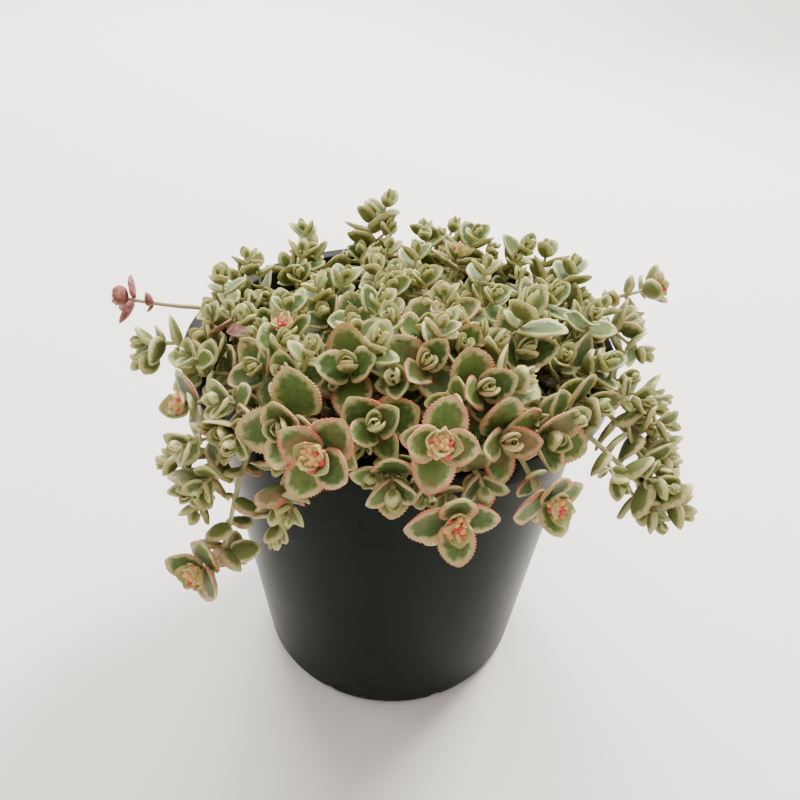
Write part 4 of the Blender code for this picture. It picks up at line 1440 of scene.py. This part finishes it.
@dataclass(frozen=True)
class SharedEffects:
    """The node groups that several finishes use."""

    mottle: bpy.types.NodeTree
    drying: bpy.types.NodeTree

    @classmethod
    def make(cls) -> "SharedEffects":
        """Make the groups."""
        return cls(cls.make_mottle(), cls.make_drying())

    @staticmethod
    def make_mottle() -> bpy.types.NodeTree:
        """Large, middle and fine uneven values at a given scale, in object space."""
        tree, graph, takes, gives = new_group(
            "uneven_mottle",
            {"Scale": "NodeSocketFloat"},
            {"Large": "NodeSocketFloat", "Middle": "NodeSocketFloat", "Fine": "NodeSocketFloat"},
        )
        place = graph.node("TexCoord").outputs["Object"]
        for label, gain, detail in (("Large", 1.0, 2.0), ("Middle", 6.0, 4.0), ("Fine", 30.0, 3.0)):
            scale = graph.times(takes["Scale"], gain)
            graph.put(graph.noise(place, scale, detail), gives[label])
        return tree

    @staticmethod
    def make_drying() -> bpy.types.NodeTree:
        """Turns a living colour into the mauve brown of old leaves and stems."""
        tree, graph, takes, gives = new_group(
            "drying",
            {"Colour": "NodeSocketColor", "Dryness": "NodeSocketFloat", "Mottle": "NodeSocketFloat"},
            {"Colour": "NodeSocketColor"},
        )
        patch = graph.smooth(takes["Mottle"], 0.35, 0.65)
        dead = graph.mix(patch, (0.20, 0.060, 0.058), (0.36, 0.17, 0.135))
        graph.put(graph.mix(takes["Dryness"], takes["Colour"], dead), gives["Colour"])
        return tree


@dataclass(frozen=True)
class SurfaceFeel:
    """The uniform settings of a finish's Principled shader."""

    roughness: float
    specular: float = 0.5
    subsurface: float = 0.0
    subsurface_radius: Colour = (1.0, 1.0, 1.0)
    subsurface_scale: float = 0.001
    coat: float = 0.0
    coat_roughness: float = 0.3
    sheen: float = 0.0


class FinishMaker:
    """A base for the finishes: it makes the material, its shader and its bump."""

    name = "finish"
    feel = SurfaceFeel(0.5)

    def __init__(self, effects: SharedEffects) -> None:
        """Keep the shared groups at hand."""
        self.effects = effects

    def make(self) -> bpy.types.Material:
        """Make the material."""
        made = bpy.data.materials.new(self.name)
        made.use_nodes = True
        shader = made.node_tree.nodes["Principled BSDF"]
        graph = Graph(made.node_tree)
        feel = self.feel
        values = {
            "Roughness": feel.roughness,
            "Specular IOR Level": feel.specular,
            "Subsurface Weight": feel.subsurface,
            "Subsurface Radius": feel.subsurface_radius,
            "Subsurface Scale": feel.subsurface_scale,
            "Coat Weight": feel.coat,
            "Coat Roughness": feel.coat_roughness,
            "Sheen Weight": feel.sheen,
        }
        for label, value in values.items():
            shader.inputs[label].default_value = value
        self.paint(graph, shader)
        return made

    def paint(self, graph: Graph, shader: bpy.types.Node) -> None:
        """Join the finish's own nodes to the shader."""
        raise NotImplementedError

    def mottle(self, graph: Graph, scale: float) -> tuple[Socket, Socket, Socket]:
        """Large, middle and fine uneven values."""
        group = graph.node("Group", node_tree=self.effects.mottle)
        group.inputs["Scale"].default_value = scale
        return group.outputs["Large"], group.outputs["Middle"], group.outputs["Fine"]

    def dried(self, graph: Graph, colour: Socket, dryness: Socket, mottle: Socket) -> Socket:
        """The colour after drying."""
        group = graph.node("Group", node_tree=self.effects.drying)
        graph.put(colour, group.inputs["Colour"])
        graph.put(dryness, group.inputs["Dryness"])
        graph.put(mottle, group.inputs["Mottle"])
        return group.outputs["Colour"]

    @staticmethod
    def bump(graph: Graph, shader: bpy.types.Node, height: Socket, strength: float, distance: float) -> None:
        """Join a height to the shader's normal."""
        made = graph.node("Bump", {"Height": height, "Strength": strength, "Distance": distance})
        graph.put(made.outputs["Normal"], shader.inputs["Normal"])


class LeafFinish(FinishMaker):
    """Thick cream-edged leaves: green heart, pale margin, pink teeth, olive underside."""

    name = "leaf_variegated"
    feel = SurfaceFeel(0.56, 0.24, 0.16, (1.0, 1.0, 0.35), 0.0012)

    deep_green: Colour = (0.050, 0.090, 0.019)
    light_green: Colour = (0.108, 0.162, 0.038)
    cream: Colour = (0.50, 0.475, 0.215)
    young: Colour = (0.27, 0.305, 0.100)
    pink: Colour = (0.45, 0.135, 0.105)
    red: Colour = (0.50, 0.050, 0.040)
    olive: Colour = (0.150, 0.162, 0.052)

    def paint(self, graph: Graph, shader: bpy.types.Node) -> None:
        """Join the leaf's colours, sheen and fine bumps to the shader."""
        edge, _, under, tooth = graph.split("look")
        pale, blush, tone, dry = graph.split("tint")
        large, middle, fine = self.mottle(graph, 130.0)
        lighter = graph.smooth(graph.plus(middle, graph.times(tone, 0.5)), 0.45, 1.0)
        green = graph.mix(lighter, self.deep_green, self.light_green)
        ragged = graph.times(graph.math("SUBTRACT", middle, 0.5), 0.50)
        shift = graph.times(graph.math("SUBTRACT", pale, 0.25), 0.42)
        reach = graph.plus(graph.plus(edge, ragged), shift)
        band = graph.smooth(reach, 0.50, 0.84)
        colour = graph.mix(band, green, self.cream)
        young = graph.times(pale, graph.smooth(edge, 0.0, 0.9, 0.45, 0.85))
        colour = graph.mix(young, colour, self.young)
        below = graph.times(under, 0.72)
        colour = graph.mix(below, colour, graph.mix(band, self.olive, self.cream))
        rim = graph.times(graph.smooth(edge, 0.74, 0.98), graph.smooth(large, 0.28, 0.60))
        rim = graph.times(rim, blush)
        colour = graph.mix(graph.times(rim, 0.9), colour, self.pink)
        glow = graph.times(graph.smooth(large, 0.48, 0.72), graph.times(blush, 0.35))
        colour = graph.mix(glow, colour, self.pink)
        colour = graph.mix(graph.times(tooth, graph.times(blush, 1.3), True), colour, self.red)
        colour = self.dried(graph, colour, dry, middle)
        graph.put(colour, shader.inputs["Base Color"])
        graph.put(graph.smooth(fine, 0.3, 0.7, 0.48, 0.64), shader.inputs["Roughness"])
        height = graph.plus(graph.times(fine, 0.6), graph.times(middle, 1.2))
        self.bump(graph, shader, height, 0.35, 0.00016)


class StemFinish(FinishMaker):
    """Smooth tan stems, redder at their nodes and browner near the root."""

    name = "stem_tan"
    feel = SurfaceFeel(0.52, 0.35, 0.10, (1.0, 0.6, 0.3), 0.0008)

    brown: Colour = (0.15, 0.075, 0.045)
    tan: Colour = (0.36, 0.27, 0.13)
    pale_green: Colour = (0.44, 0.44, 0.20)
    node_red: Colour = (0.30, 0.085, 0.045)

    def paint(self, graph: Graph, shader: bpy.types.Node) -> None:
        """Join the stem's colours and roughness to the shader."""
        node, along, _, _ = graph.split("look")
        pale, blush, _, dry = graph.split("tint")
        _, middle, fine = self.mottle(graph, 170.0)
        young = graph.smooth(graph.plus(along, graph.times(pale, 0.6)), 0.25, 1.0)
        woody = graph.mix(graph.smooth(along, 0.15, 0.6), self.brown, self.tan)
        colour = graph.mix(young, woody, self.pale_green)
        red = graph.times(node, graph.plus(graph.times(blush, 0.5), 0.25))
        colour = graph.mix(red, colour, self.node_red)
        colour = graph.mix(graph.smooth(middle, 0.5, 0.75, 0.0, 0.35), colour, self.brown)
        colour = self.dried(graph, colour, graph.times(dry, 0.4), middle)
        graph.put(colour, shader.inputs["Base Color"])
        graph.put(graph.smooth(fine, 0.3, 0.7, 0.42, 0.64), shader.inputs["Roughness"])
        self.bump(graph, shader, graph.plus(middle, fine), 0.4, 0.00012)


class BudFinish(FinishMaker):
    """Waxy flower buds, cream to orange, and red at their tips."""

    name = "flower_bud"
    feel = SurfaceFeel(0.40, 0.45, 0.18, (1.0, 0.5, 0.25), 0.0010)

    cream: Colour = (0.66, 0.48, 0.17)
    orange: Colour = (0.66, 0.23, 0.07)
    red: Colour = (0.54, 0.042, 0.038)

    def paint(self, graph: Graph, shader: bpy.types.Node) -> None:
        """Join the bud's colours and roughness to the shader."""
        lobe, along, _, _ = graph.split("look")
        _, blush, _, dry = graph.split("tint")
        _, middle, fine = self.mottle(graph, 220.0)
        warm = graph.times(graph.smooth(along, 0.1, 0.95), graph.smooth(blush, 0.0, 0.6, 0.25, 1.0))
        colour = graph.mix(warm, self.cream, self.orange)
        colour = graph.mix(graph.smooth(blush, 0.55, 0.95), colour, self.red)
        colour = graph.mix(graph.smooth(lobe, 0.55, 0.0, 0.0, 0.25), colour, self.orange)
        colour = self.dried(graph, colour, dry, middle)
        graph.put(colour, shader.inputs["Base Color"])
        graph.put(graph.smooth(fine, 0.3, 0.7, 0.32, 0.5), shader.inputs["Roughness"])
        self.bump(graph, shader, middle, 0.3, 0.00012)


class PotFinish(FinishMaker):
    """Satin black moulded plastic with a faint orange-peel and a film of dust."""

    name = "pot_plastic_black"
    feel = SurfaceFeel(0.36, 0.025)

    black: Colour = (0.0082, 0.0112, 0.0096)
    dusty: Colour = (0.0150, 0.0170, 0.0150)

    def paint(self, graph: Graph, shader: bpy.types.Node) -> None:
        """Join the plastic's colour, sheen and fine bumps to the shader."""
        large, middle, fine = self.mottle(graph, 28.0)
        dust = graph.smooth(graph.plus(large, graph.times(middle, 0.5)), 0.20, 1.35, 0.0, 0.35)
        graph.put(graph.mix(dust, self.black, self.dusty), shader.inputs["Base Color"])
        graph.put(graph.smooth(large, 0.3, 0.7, 0.27, 0.30), shader.inputs["Roughness"])
        self.bump(graph, shader, fine, 0.04, 0.0002)


class MixFinish(FinishMaker):
    """Dark damp potting mix: peat, bark and a few pale grains."""

    name = "potting_mix_dark"
    feel = SurfaceFeel(0.92, 0.25)

    peat: Colour = (0.030, 0.019, 0.012)
    bark: Colour = (0.085, 0.048, 0.026)
    fibre: Colour = (0.17, 0.12, 0.075)

    def paint(self, graph: Graph, shader: bpy.types.Node) -> None:
        """Join the mix's colours and bumps to the shader."""
        large, middle, fine = self.mottle(graph, 90.0)
        colour = graph.mix(graph.smooth(middle, 0.42, 0.62), self.peat, self.bark)
        colour = graph.mix(graph.smooth(fine, 0.62, 0.74, 0.0, 0.7), colour, self.fibre)
        graph.put(colour, shader.inputs["Base Color"])
        graph.put(graph.smooth(large, 0.35, 0.65, 0.74, 0.97), shader.inputs["Roughness"])
        self.bump(graph, shader, graph.plus(middle, fine), 0.9, 0.0008)


class CrumbFinish(MixFinish):
    """Loose crumbs and bark chips on the mix, lighter than the peat below them."""

    name = "potting_mix_crumbs"
    peat: Colour = (0.045, 0.027, 0.016)
    bark: Colour = (0.13, 0.075, 0.040)
    fibre: Colour = (0.22, 0.15, 0.09)


class StudioFinish(FinishMaker):
    """Pale, slightly uneven studio paper."""

    name = "studio_paper"
    feel = SurfaceFeel(0.85, 0.2)

    paper: Colour = (0.86, 0.835, 0.795)
    shade: Colour = (0.83, 0.805, 0.765)

    def paint(self, graph: Graph, shader: bpy.types.Node) -> None:
        """Join the paper's colour and tooth to the shader."""
        large, _, fine = self.mottle(graph, 3.0)
        graph.put(graph.mix(large, self.paper, self.shade), shader.inputs["Base Color"])
        self.bump(graph, shader, fine, 0.05, 0.0005)


# --------------------------------------------------------------------------------------------------
# Pot, potting mix and studio
# --------------------------------------------------------------------------------------------------


def turn_profile(profile: Sequence[tuple[float, float]], segments: int) -> bmesh.types.BMesh:
    """A closed body: a profile of (radius, height) points turned about Z and capped at both ends.

    Args:
        profile: The section, from the underside's rim round to the inner floor's rim.
        segments: Steps of the turn.

    Returns:
        The mesh, still to be smoothed.
    """
    bm = bmesh.new()
    rings = []
    for radius, height in profile:
        ring = []
        for i in range(segments):
            a = 2.0 * math.pi * i / segments
            ring.append(bm.verts.new((radius * math.cos(a), radius * math.sin(a), height)))
        rings.append(ring)
    for low, high in zip(rings, rings[1:]):
        for i in range(segments):
            j = (i + 1) % segments
            bm.faces.new((low[i], low[j], high[j], high[i]))
    bm.faces.new(list(reversed(rings[0])))
    bm.faces.new(rings[-1])
    bmesh.ops.recalc_face_normals(bm, faces=bm.faces)
    return bm


def object_of(
    name: str, bm: bmesh.types.BMesh, finish: bpy.types.Material, angle: float = 40.0
) -> bpy.types.Object:
    """Turn a bmesh into a smooth-shaded, linked object.

    Args:
        name: The object's name.
        bm: The mesh, which is freed.
        finish: Its material.
        angle: Edges sharper than this many degrees stay crisp.

    Returns:
        The object.
    """
    mesh = bpy.data.meshes.new(name)
    bm.to_mesh(mesh)
    bm.free()
    mesh.shade_smooth()
    mesh.set_sharp_from_angle(angle=math.radians(angle))
    mesh.materials.append(finish)
    made = bpy.data.objects.new(name, mesh)
    bpy.context.collection.objects.link(made)
    return made


@dataclass
class Pot:
    """The black nursery pot, with its turned-out rim and the drain slots in its foot."""

    sizes: PotSizes
    segments: int = 168
    lip_radius: float = 0.55 * MM

    def arc(
        self, x: float, z: float, radius: float, start: float, end: float, steps: int
    ) -> list[tuple[float, float]]:
        """Points of an arc in the pot's section, between two angles in degrees."""
        out = []
        for i in range(steps + 1):
            a = math.radians(start + (end - start) * i / steps)
            out.append((x + radius * math.cos(a), z + radius * math.sin(a)))
        return out

    def profile(self) -> list[tuple[float, float]]:
        """The section, from the underside up outside, over the rim and down inside."""
        s = self.sizes
        r = self.lip_radius
        points = [(s.foot_radius - 9.0 * MM, 0.0), (s.foot_radius - 7.0 * MM, 0.0)]
        foot = s.foot_rounding
        points += self.arc(s.wall_radius(foot) - foot, foot, foot, -90, 0, 10)
        under = s.height - s.wall
        for i in range(1, 9):
            h = s.foot_rounding + (under - s.foot_rounding) * i / 8
            if i < 8:
                points.append((s.wall_radius(h), h))
        points.append((s.wall_radius(under - 0.6 * MM), under - 0.6 * MM))
        points.append((s.wall_radius(under) + 0.6 * MM, under))
        inner = s.rim_radius - s.wall
        points += self.arc(inner - 0.7 * MM, under - 0.7 * MM, 0.7 * MM, 90, 0, 4)
        low = s.height - s.lip_depth
        points.append((inner, low + 0.3 * MM))
        points += self.arc(inner + 0.3 * MM, low + 0.3 * MM, 0.3 * MM, 180, 270, 3)
        points += self.arc(s.rim_radius - r, low + r, r, -90, 0, 4)
        points.append((s.rim_radius - 0.05 * MM, low + 0.5 * s.lip_depth))
        top = 1.3 * MM
        points += self.arc(s.rim_radius - top, s.height - top, top, 0, 90, 8)
        mouth = s.wall_radius(s.height) - s.wall
        points += self.arc(mouth + 0.8 * MM, s.height - 0.8 * MM, 0.8 * MM, 90, 180, 5)
        floor = s.floor + 2.0 * MM
        for i in range(1, 7):
            h = s.height - 0.8 * MM + (floor - s.height + 0.8 * MM) * i / 6
            points.append((s.wall_radius(h) - s.wall, h))
        points.append((s.wall_radius(s.floor) - s.wall - 2.0 * MM, s.floor))
        return points

    def build(self, finish: bpy.types.Material) -> bpy.types.Object:
        """Make the pot and cut its drain slots.

        Args:
            finish: The plastic.

        Returns:
            The pot.
        """
        pot = object_of("pot_fine", turn_profile(self.profile(), self.segments), finish, 30.0)
        cutter = self.slot_cutter()
        cut = pot.modifiers.new("drain_slots", "BOOLEAN")
        cut.operation = "DIFFERENCE"
        cut.solver = "EXACT"
        cut.object = cutter
        shape = pot.evaluated_get(bpy.context.evaluated_depsgraph_get())
        mesh = bpy.data.meshes.new_from_object(shape)
        pot.modifiers.clear()
        pot.data = mesh
        mesh.name = "pot_fine"
        mesh.shade_smooth()
        mesh.set_sharp_from_angle(angle=math.radians(30.0))
        bpy.data.objects.remove(cutter, do_unlink=True)
        return pot

    def slot_cutter(self) -> bpy.types.Object:
        """The rounded bars that cut the drain slots through the foot's edge."""
        s = self.sizes
        bm = bmesh.new()
        for i in range(s.slots):
            a = math.radians(s.first_slot + 360.0 * i / s.slots)
            made = bmesh.ops.create_cone(bm, cap_ends=True, segments=32, radius1=0.5, radius2=0.5, depth=1.0)
            middle = s.foot_radius - 0.5 * s.slot_depth + 1.5 * MM
            columns = Matrix(
                (
                    (0.0, 0.0, s.slot_depth, 0.0),
                    (s.slot_width, 0.0, 0.0, 0.0),
                    (0.0, 2.0 * s.slot_height, 0.0, 0.0),
                    (0.0, 0.0, 0.0, 1.0),
                )
            )
            place = Matrix.Translation((middle * math.cos(a), middle * math.sin(a), 0.0))
            bmesh.ops.transform(bm, matrix=place @ Matrix.Rotation(a, 4, "Z") @ columns, verts=made["verts"])
        bmesh.ops.recalc_face_normals(bm, faces=bm.faces)
        mesh = bpy.data.meshes.new("drain_slot_cutter")
        bm.to_mesh(mesh)
        bm.free()
        made = bpy.data.objects.new("drain_slot_cutter", mesh)
        bpy.context.collection.objects.link(made)
        return made


@dataclass
class PottingMix:
    """The potting mix: an uneven crumbly top with loose crumbs and bark chips on it."""

    sizes: PotSizes
    rings: int = 46
    segments: int = 150
    unevenness: float = 0.9 * MM
    crumbs: int = 620
    chips: int = 90

    def height_at(self, x: float, y: float) -> float:
        """How far the surface lies below or above its mean, from a few crossed waves."""
        k = 1.0 / MM
        total = 0.0
        for i, (size, share) in enumerate(((17.0, 0.45), (8.0, 0.30), (3.7, 0.18), (1.9, 0.12))):
            a = 1.3 + 2.1 * i
            total += share * math.sin((x * math.cos(a) + y * math.sin(a)) * k * 6.28 / size + 1.7 * i)
            across = (y * math.cos(a) - x * math.sin(a)) * k
            total += share * math.sin(across * 6.28 / (0.83 * size) + 0.6 * i)
        return self.unevenness * (0.5 * total - 0.6)

    def build(self, finish: bpy.types.Material) -> bpy.types.Object:
        """Make the block of mix with its uneven top.

        Args:
            finish: The mix's material.

        Returns:
            The object.
        """
        s = self.sizes
        low = s.floor + 2.0 * MM
        profile = [
            (s.wall_radius(s.floor) - s.wall - 2.0 * MM - s.clearance, s.floor + s.clearance),
            (s.wall_radius(low) - s.wall - s.clearance, low + s.clearance),
            (s.mix_radius() - 0.2 * MM, s.mix_top() - s.mix_shoulder),
            (s.mix_radius() - 1.2 * MM, s.mix_top() - 0.4 * s.mix_shoulder),
        ]
        edge = s.mix_radius() - s.mix_shoulder
        for i in range(self.rings):
            profile.append((edge * (1.0 - i / self.rings), s.mix_top()))
        bm = turn_profile(profile, self.segments)
        for v in bm.verts:
            if v.co.z > s.mix_top() - 0.5 * s.mix_shoulder:
                v.co.z += self.height_at(v.co.x, v.co.y)
        return object_of("potting_mix_fine", bm, finish, 80.0)

    def build_crumbs(self, finish: bpy.types.Material) -> bpy.types.Object:
        """Make the loose crumbs and chips.

        Args:
            finish: Their material.

        Returns:
            The object.
        """
        s = self.sizes
        rng = random.Random(77)
        bm = bmesh.new()
        for i in range(self.crumbs + self.chips):
            chip = i >= self.crumbs
            radius = (s.mix_radius() - s.mix_shoulder - 1.0 * MM) * math.sqrt(rng.random())
            spot = polar(rng.uniform(0.0, 360.0), radius, 0.0)
            size = rng.uniform(1.6, 3.4) * MM if chip else rng.uniform(0.5, 1.5) * MM
            shape = (size, size * rng.uniform(0.35, 0.6), size * rng.uniform(0.18, 0.3)) if chip else (
                size, size * rng.uniform(0.6, 1.0), size * rng.uniform(0.5, 0.9))
            made = bmesh.ops.create_icosphere(bm, subdivisions=2, radius=0.5)
            for v in made["verts"]:
                bulge = 0.16 * math.sin(9.0 * v.co.x + 3.0 * i)
                v.co *= 1.0 + bulge + 0.13 * math.sin(11.0 * v.co.y + 5.0 * i)
                v.co += Vector((rng.uniform(-1, 1), rng.uniform(-1, 1), rng.uniform(-1, 1))) * 0.035
            height = s.mix_top() + self.height_at(spot.x, spot.y) + 0.25 * shape[2]
            turn = Matrix.Rotation(rng.uniform(0.0, 6.28), 4, "Z")
            turn = turn @ Matrix.Rotation(rng.uniform(-0.5, 0.5), 4, "X")
            stretch = Matrix.Diagonal((shape[0], shape[1], shape[2], 1.0))
            place = Matrix.Translation((spot.x, spot.y, height))
            bmesh.ops.transform(bm, matrix=place @ turn @ stretch, verts=made["verts"])
        return object_of("potting_mix_crumbs", bm, finish, 50.0)


@dataclass(frozen=True)
class Lamp:
    """One soft area light."""

    name: str
    place: tuple[float, float, float]
    aim: tuple[float, float, float]
    size: float
    power: float
    colour: Colour = (1.0, 1.0, 1.0)


@dataclass
class Studio:
    """The pale round sweep, the soft lights and the white surroundings."""

    lamps: tuple[Lamp, ...] = (
        Lamp("key_softbox", (0.55, 0.60, 1.05), (0.0, 0.0, 0.10), 0.45, 34.0, (1.0, 0.975, 0.94)),
        Lamp("back_softbox", (-0.35, 1.35, 1.25), (-0.15, 1.05, 0.0), 1.3, 72.0, (1.0, 0.985, 0.96)),
        Lamp("side_softbox", (-1.10, 0.25, 0.70), (0.0, 0.0, 0.08), 0.5, 3.0, (0.99, 0.99, 1.0)),
        Lamp("top_softbox", (-0.10, -0.35, 1.40), (0.0, -0.15, 0.0), 0.9, 8.0, (1.0, 0.98, 0.95)),
    )
    surround: Colour = (1.0, 0.985, 0.96)
    surround_strength: float = 0.25
    floor_radius: float = 1.55
    bend_radius: float = 0.60
    wall_height: float = 1.60
    segments: int = 96

    def build(self, finish: bpy.types.Material) -> bpy.types.Object:
        """Make the round sweep, the lights and the surroundings.

        Args:
            finish: The sweep's paper.

        Returns:
            The sweep.
        """
        section = [(0.25 * i * self.floor_radius, 0.0) for i in range(1, 5)]
        for i in range(1, 17):
            a = math.radians(-90.0 + 90.0 * i / 16)
            radius = self.floor_radius + self.bend_radius * math.cos(a)
            section.append((radius, self.bend_radius * (1.0 + math.sin(a))))
        section.append((self.floor_radius + self.bend_radius, self.wall_height))
        bm = bmesh.new()
        rings = []
        for radius, height in section:
            turns = [2.0 * math.pi * i / self.segments for i in range(self.segments)]
            rings.append([bm.verts.new((radius * math.cos(a), radius * math.sin(a), height)) for a in turns])
        for low, high in zip(rings, rings[1:]):
            for i in range(self.segments):
                j = (i + 1) % self.segments
                bm.faces.new((low[i], high[i], high[j], low[j]))
        bm.faces.new(rings[0])
        sweep = object_of("studio_sweep", bm, finish, 60.0)
        for lamp in self.lamps:
            self.light(lamp)
        world = bpy.data.worlds.new("studio_surround")
        world.use_nodes = True
        back = world.node_tree.nodes["Background"]
        back.inputs["Color"].default_value = (*self.surround, 1.0)
        back.inputs["Strength"].default_value = self.surround_strength
        bpy.context.scene.world = world
        return sweep

    @staticmethod
    def light(lamp: Lamp) -> None:
        """Hang one area light."""
        data = bpy.data.lights.new(lamp.name, "AREA")
        data.shape = "DISK"
        data.size = lamp.size
        data.energy = lamp.power
        data.color = lamp.colour
        made = bpy.data.objects.new(lamp.name, data)
        made.location = lamp.place
        way = Vector(lamp.aim) - Vector(lamp.place)
        made.rotation_mode = "QUATERNION"
        made.rotation_quaternion = way.to_track_quat("-Z", "Y")
        made.visible_camera = False
        bpy.context.collection.objects.link(made)


@dataclass(frozen=True)
class CameraStand:
    """Where the camera stands, with its slopes in degrees."""

    place: tuple[float, float, float] = (0.000715, -0.18525, 0.23465)
    down: float = 36.1
    roll: float = 2.34
    lens: float = 31.5

    def build(self) -> bpy.types.Object:
        """Make the camera and give it to the scene."""
        data = bpy.data.cameras.new("studio_camera")
        data.lens = self.lens
        data.sensor_width = 36.0
        data.clip_start = 0.005
        made = bpy.data.objects.new("studio_camera", data)
        down, roll = math.radians(self.down), math.radians(self.roll)
        forward = Vector((0.0, math.cos(down), -math.sin(down)))
        up = Vector((0.0, math.sin(down), math.cos(down)))
        right = Vector((1.0, 0.0, 0.0))
        side = right * math.cos(roll) + up * math.sin(roll)
        over = up * math.cos(roll) - right * math.sin(roll)
        made.matrix_world = Matrix(
            [(side[i], over[i], -forward[i], self.place[i]) for i in range(3)] + [(0.0, 0.0, 0.0, 1.0)]
        )
        bpy.context.collection.objects.link(made)
        bpy.context.scene.camera = made
        return made


def place_piece(piece: bpy.types.Object, slot: str, *nodes: str) -> None:
    """Let a piece ride with the plant, in place of the named solids.

    Args:
        piece: The object.
        slot: Not used.
        *nodes: The solids that it stands for.
    """
    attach(piece, "root")
    if nodes:
        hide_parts(*nodes)
    LOG.info("%s: %d faces", piece.name, len(piece.data.polygons))


def write_sizes() -> None:
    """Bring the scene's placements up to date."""
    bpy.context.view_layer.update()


def main() -> None:
    """Build the pot, the mix, the shoots and the studio."""
    logging.basicConfig(level=logging.INFO, format="%(message)s")
    sizes = PotSizes()
    effects = SharedEffects.make()
    CameraStand().build()
    Studio().build(StudioFinish(effects).make())
    place_piece(Pot(sizes).build(PotFinish(effects).make()), "pot_plastic", "pot")
    mix = PottingMix(sizes)
    place_piece(mix.build(MixFinish(effects).make()), "potting_mix", "potting_mix")
    place_piece(mix.build_crumbs(CrumbFinish(effects).make()), "potting_mix")
    finishes = (LeafFinish(effects).make(), StemFinish(effects).make(), BudFinish(effects).make())
    gardener = Gardener(sizes)
    foliage = Foliage(gardener.sizes)
    for shoot in gardener.grow(SHOOT_PLANS):
        place_piece(foliage.dress(shoot, finishes), "leaf_and_stem", shoot.plan.name)
        LOG.info("%d leaves and %d branches", len(shoot.main.leaves), len(shoot.branches))
    write_sizes()


if __name__ == "__main__":
    main()
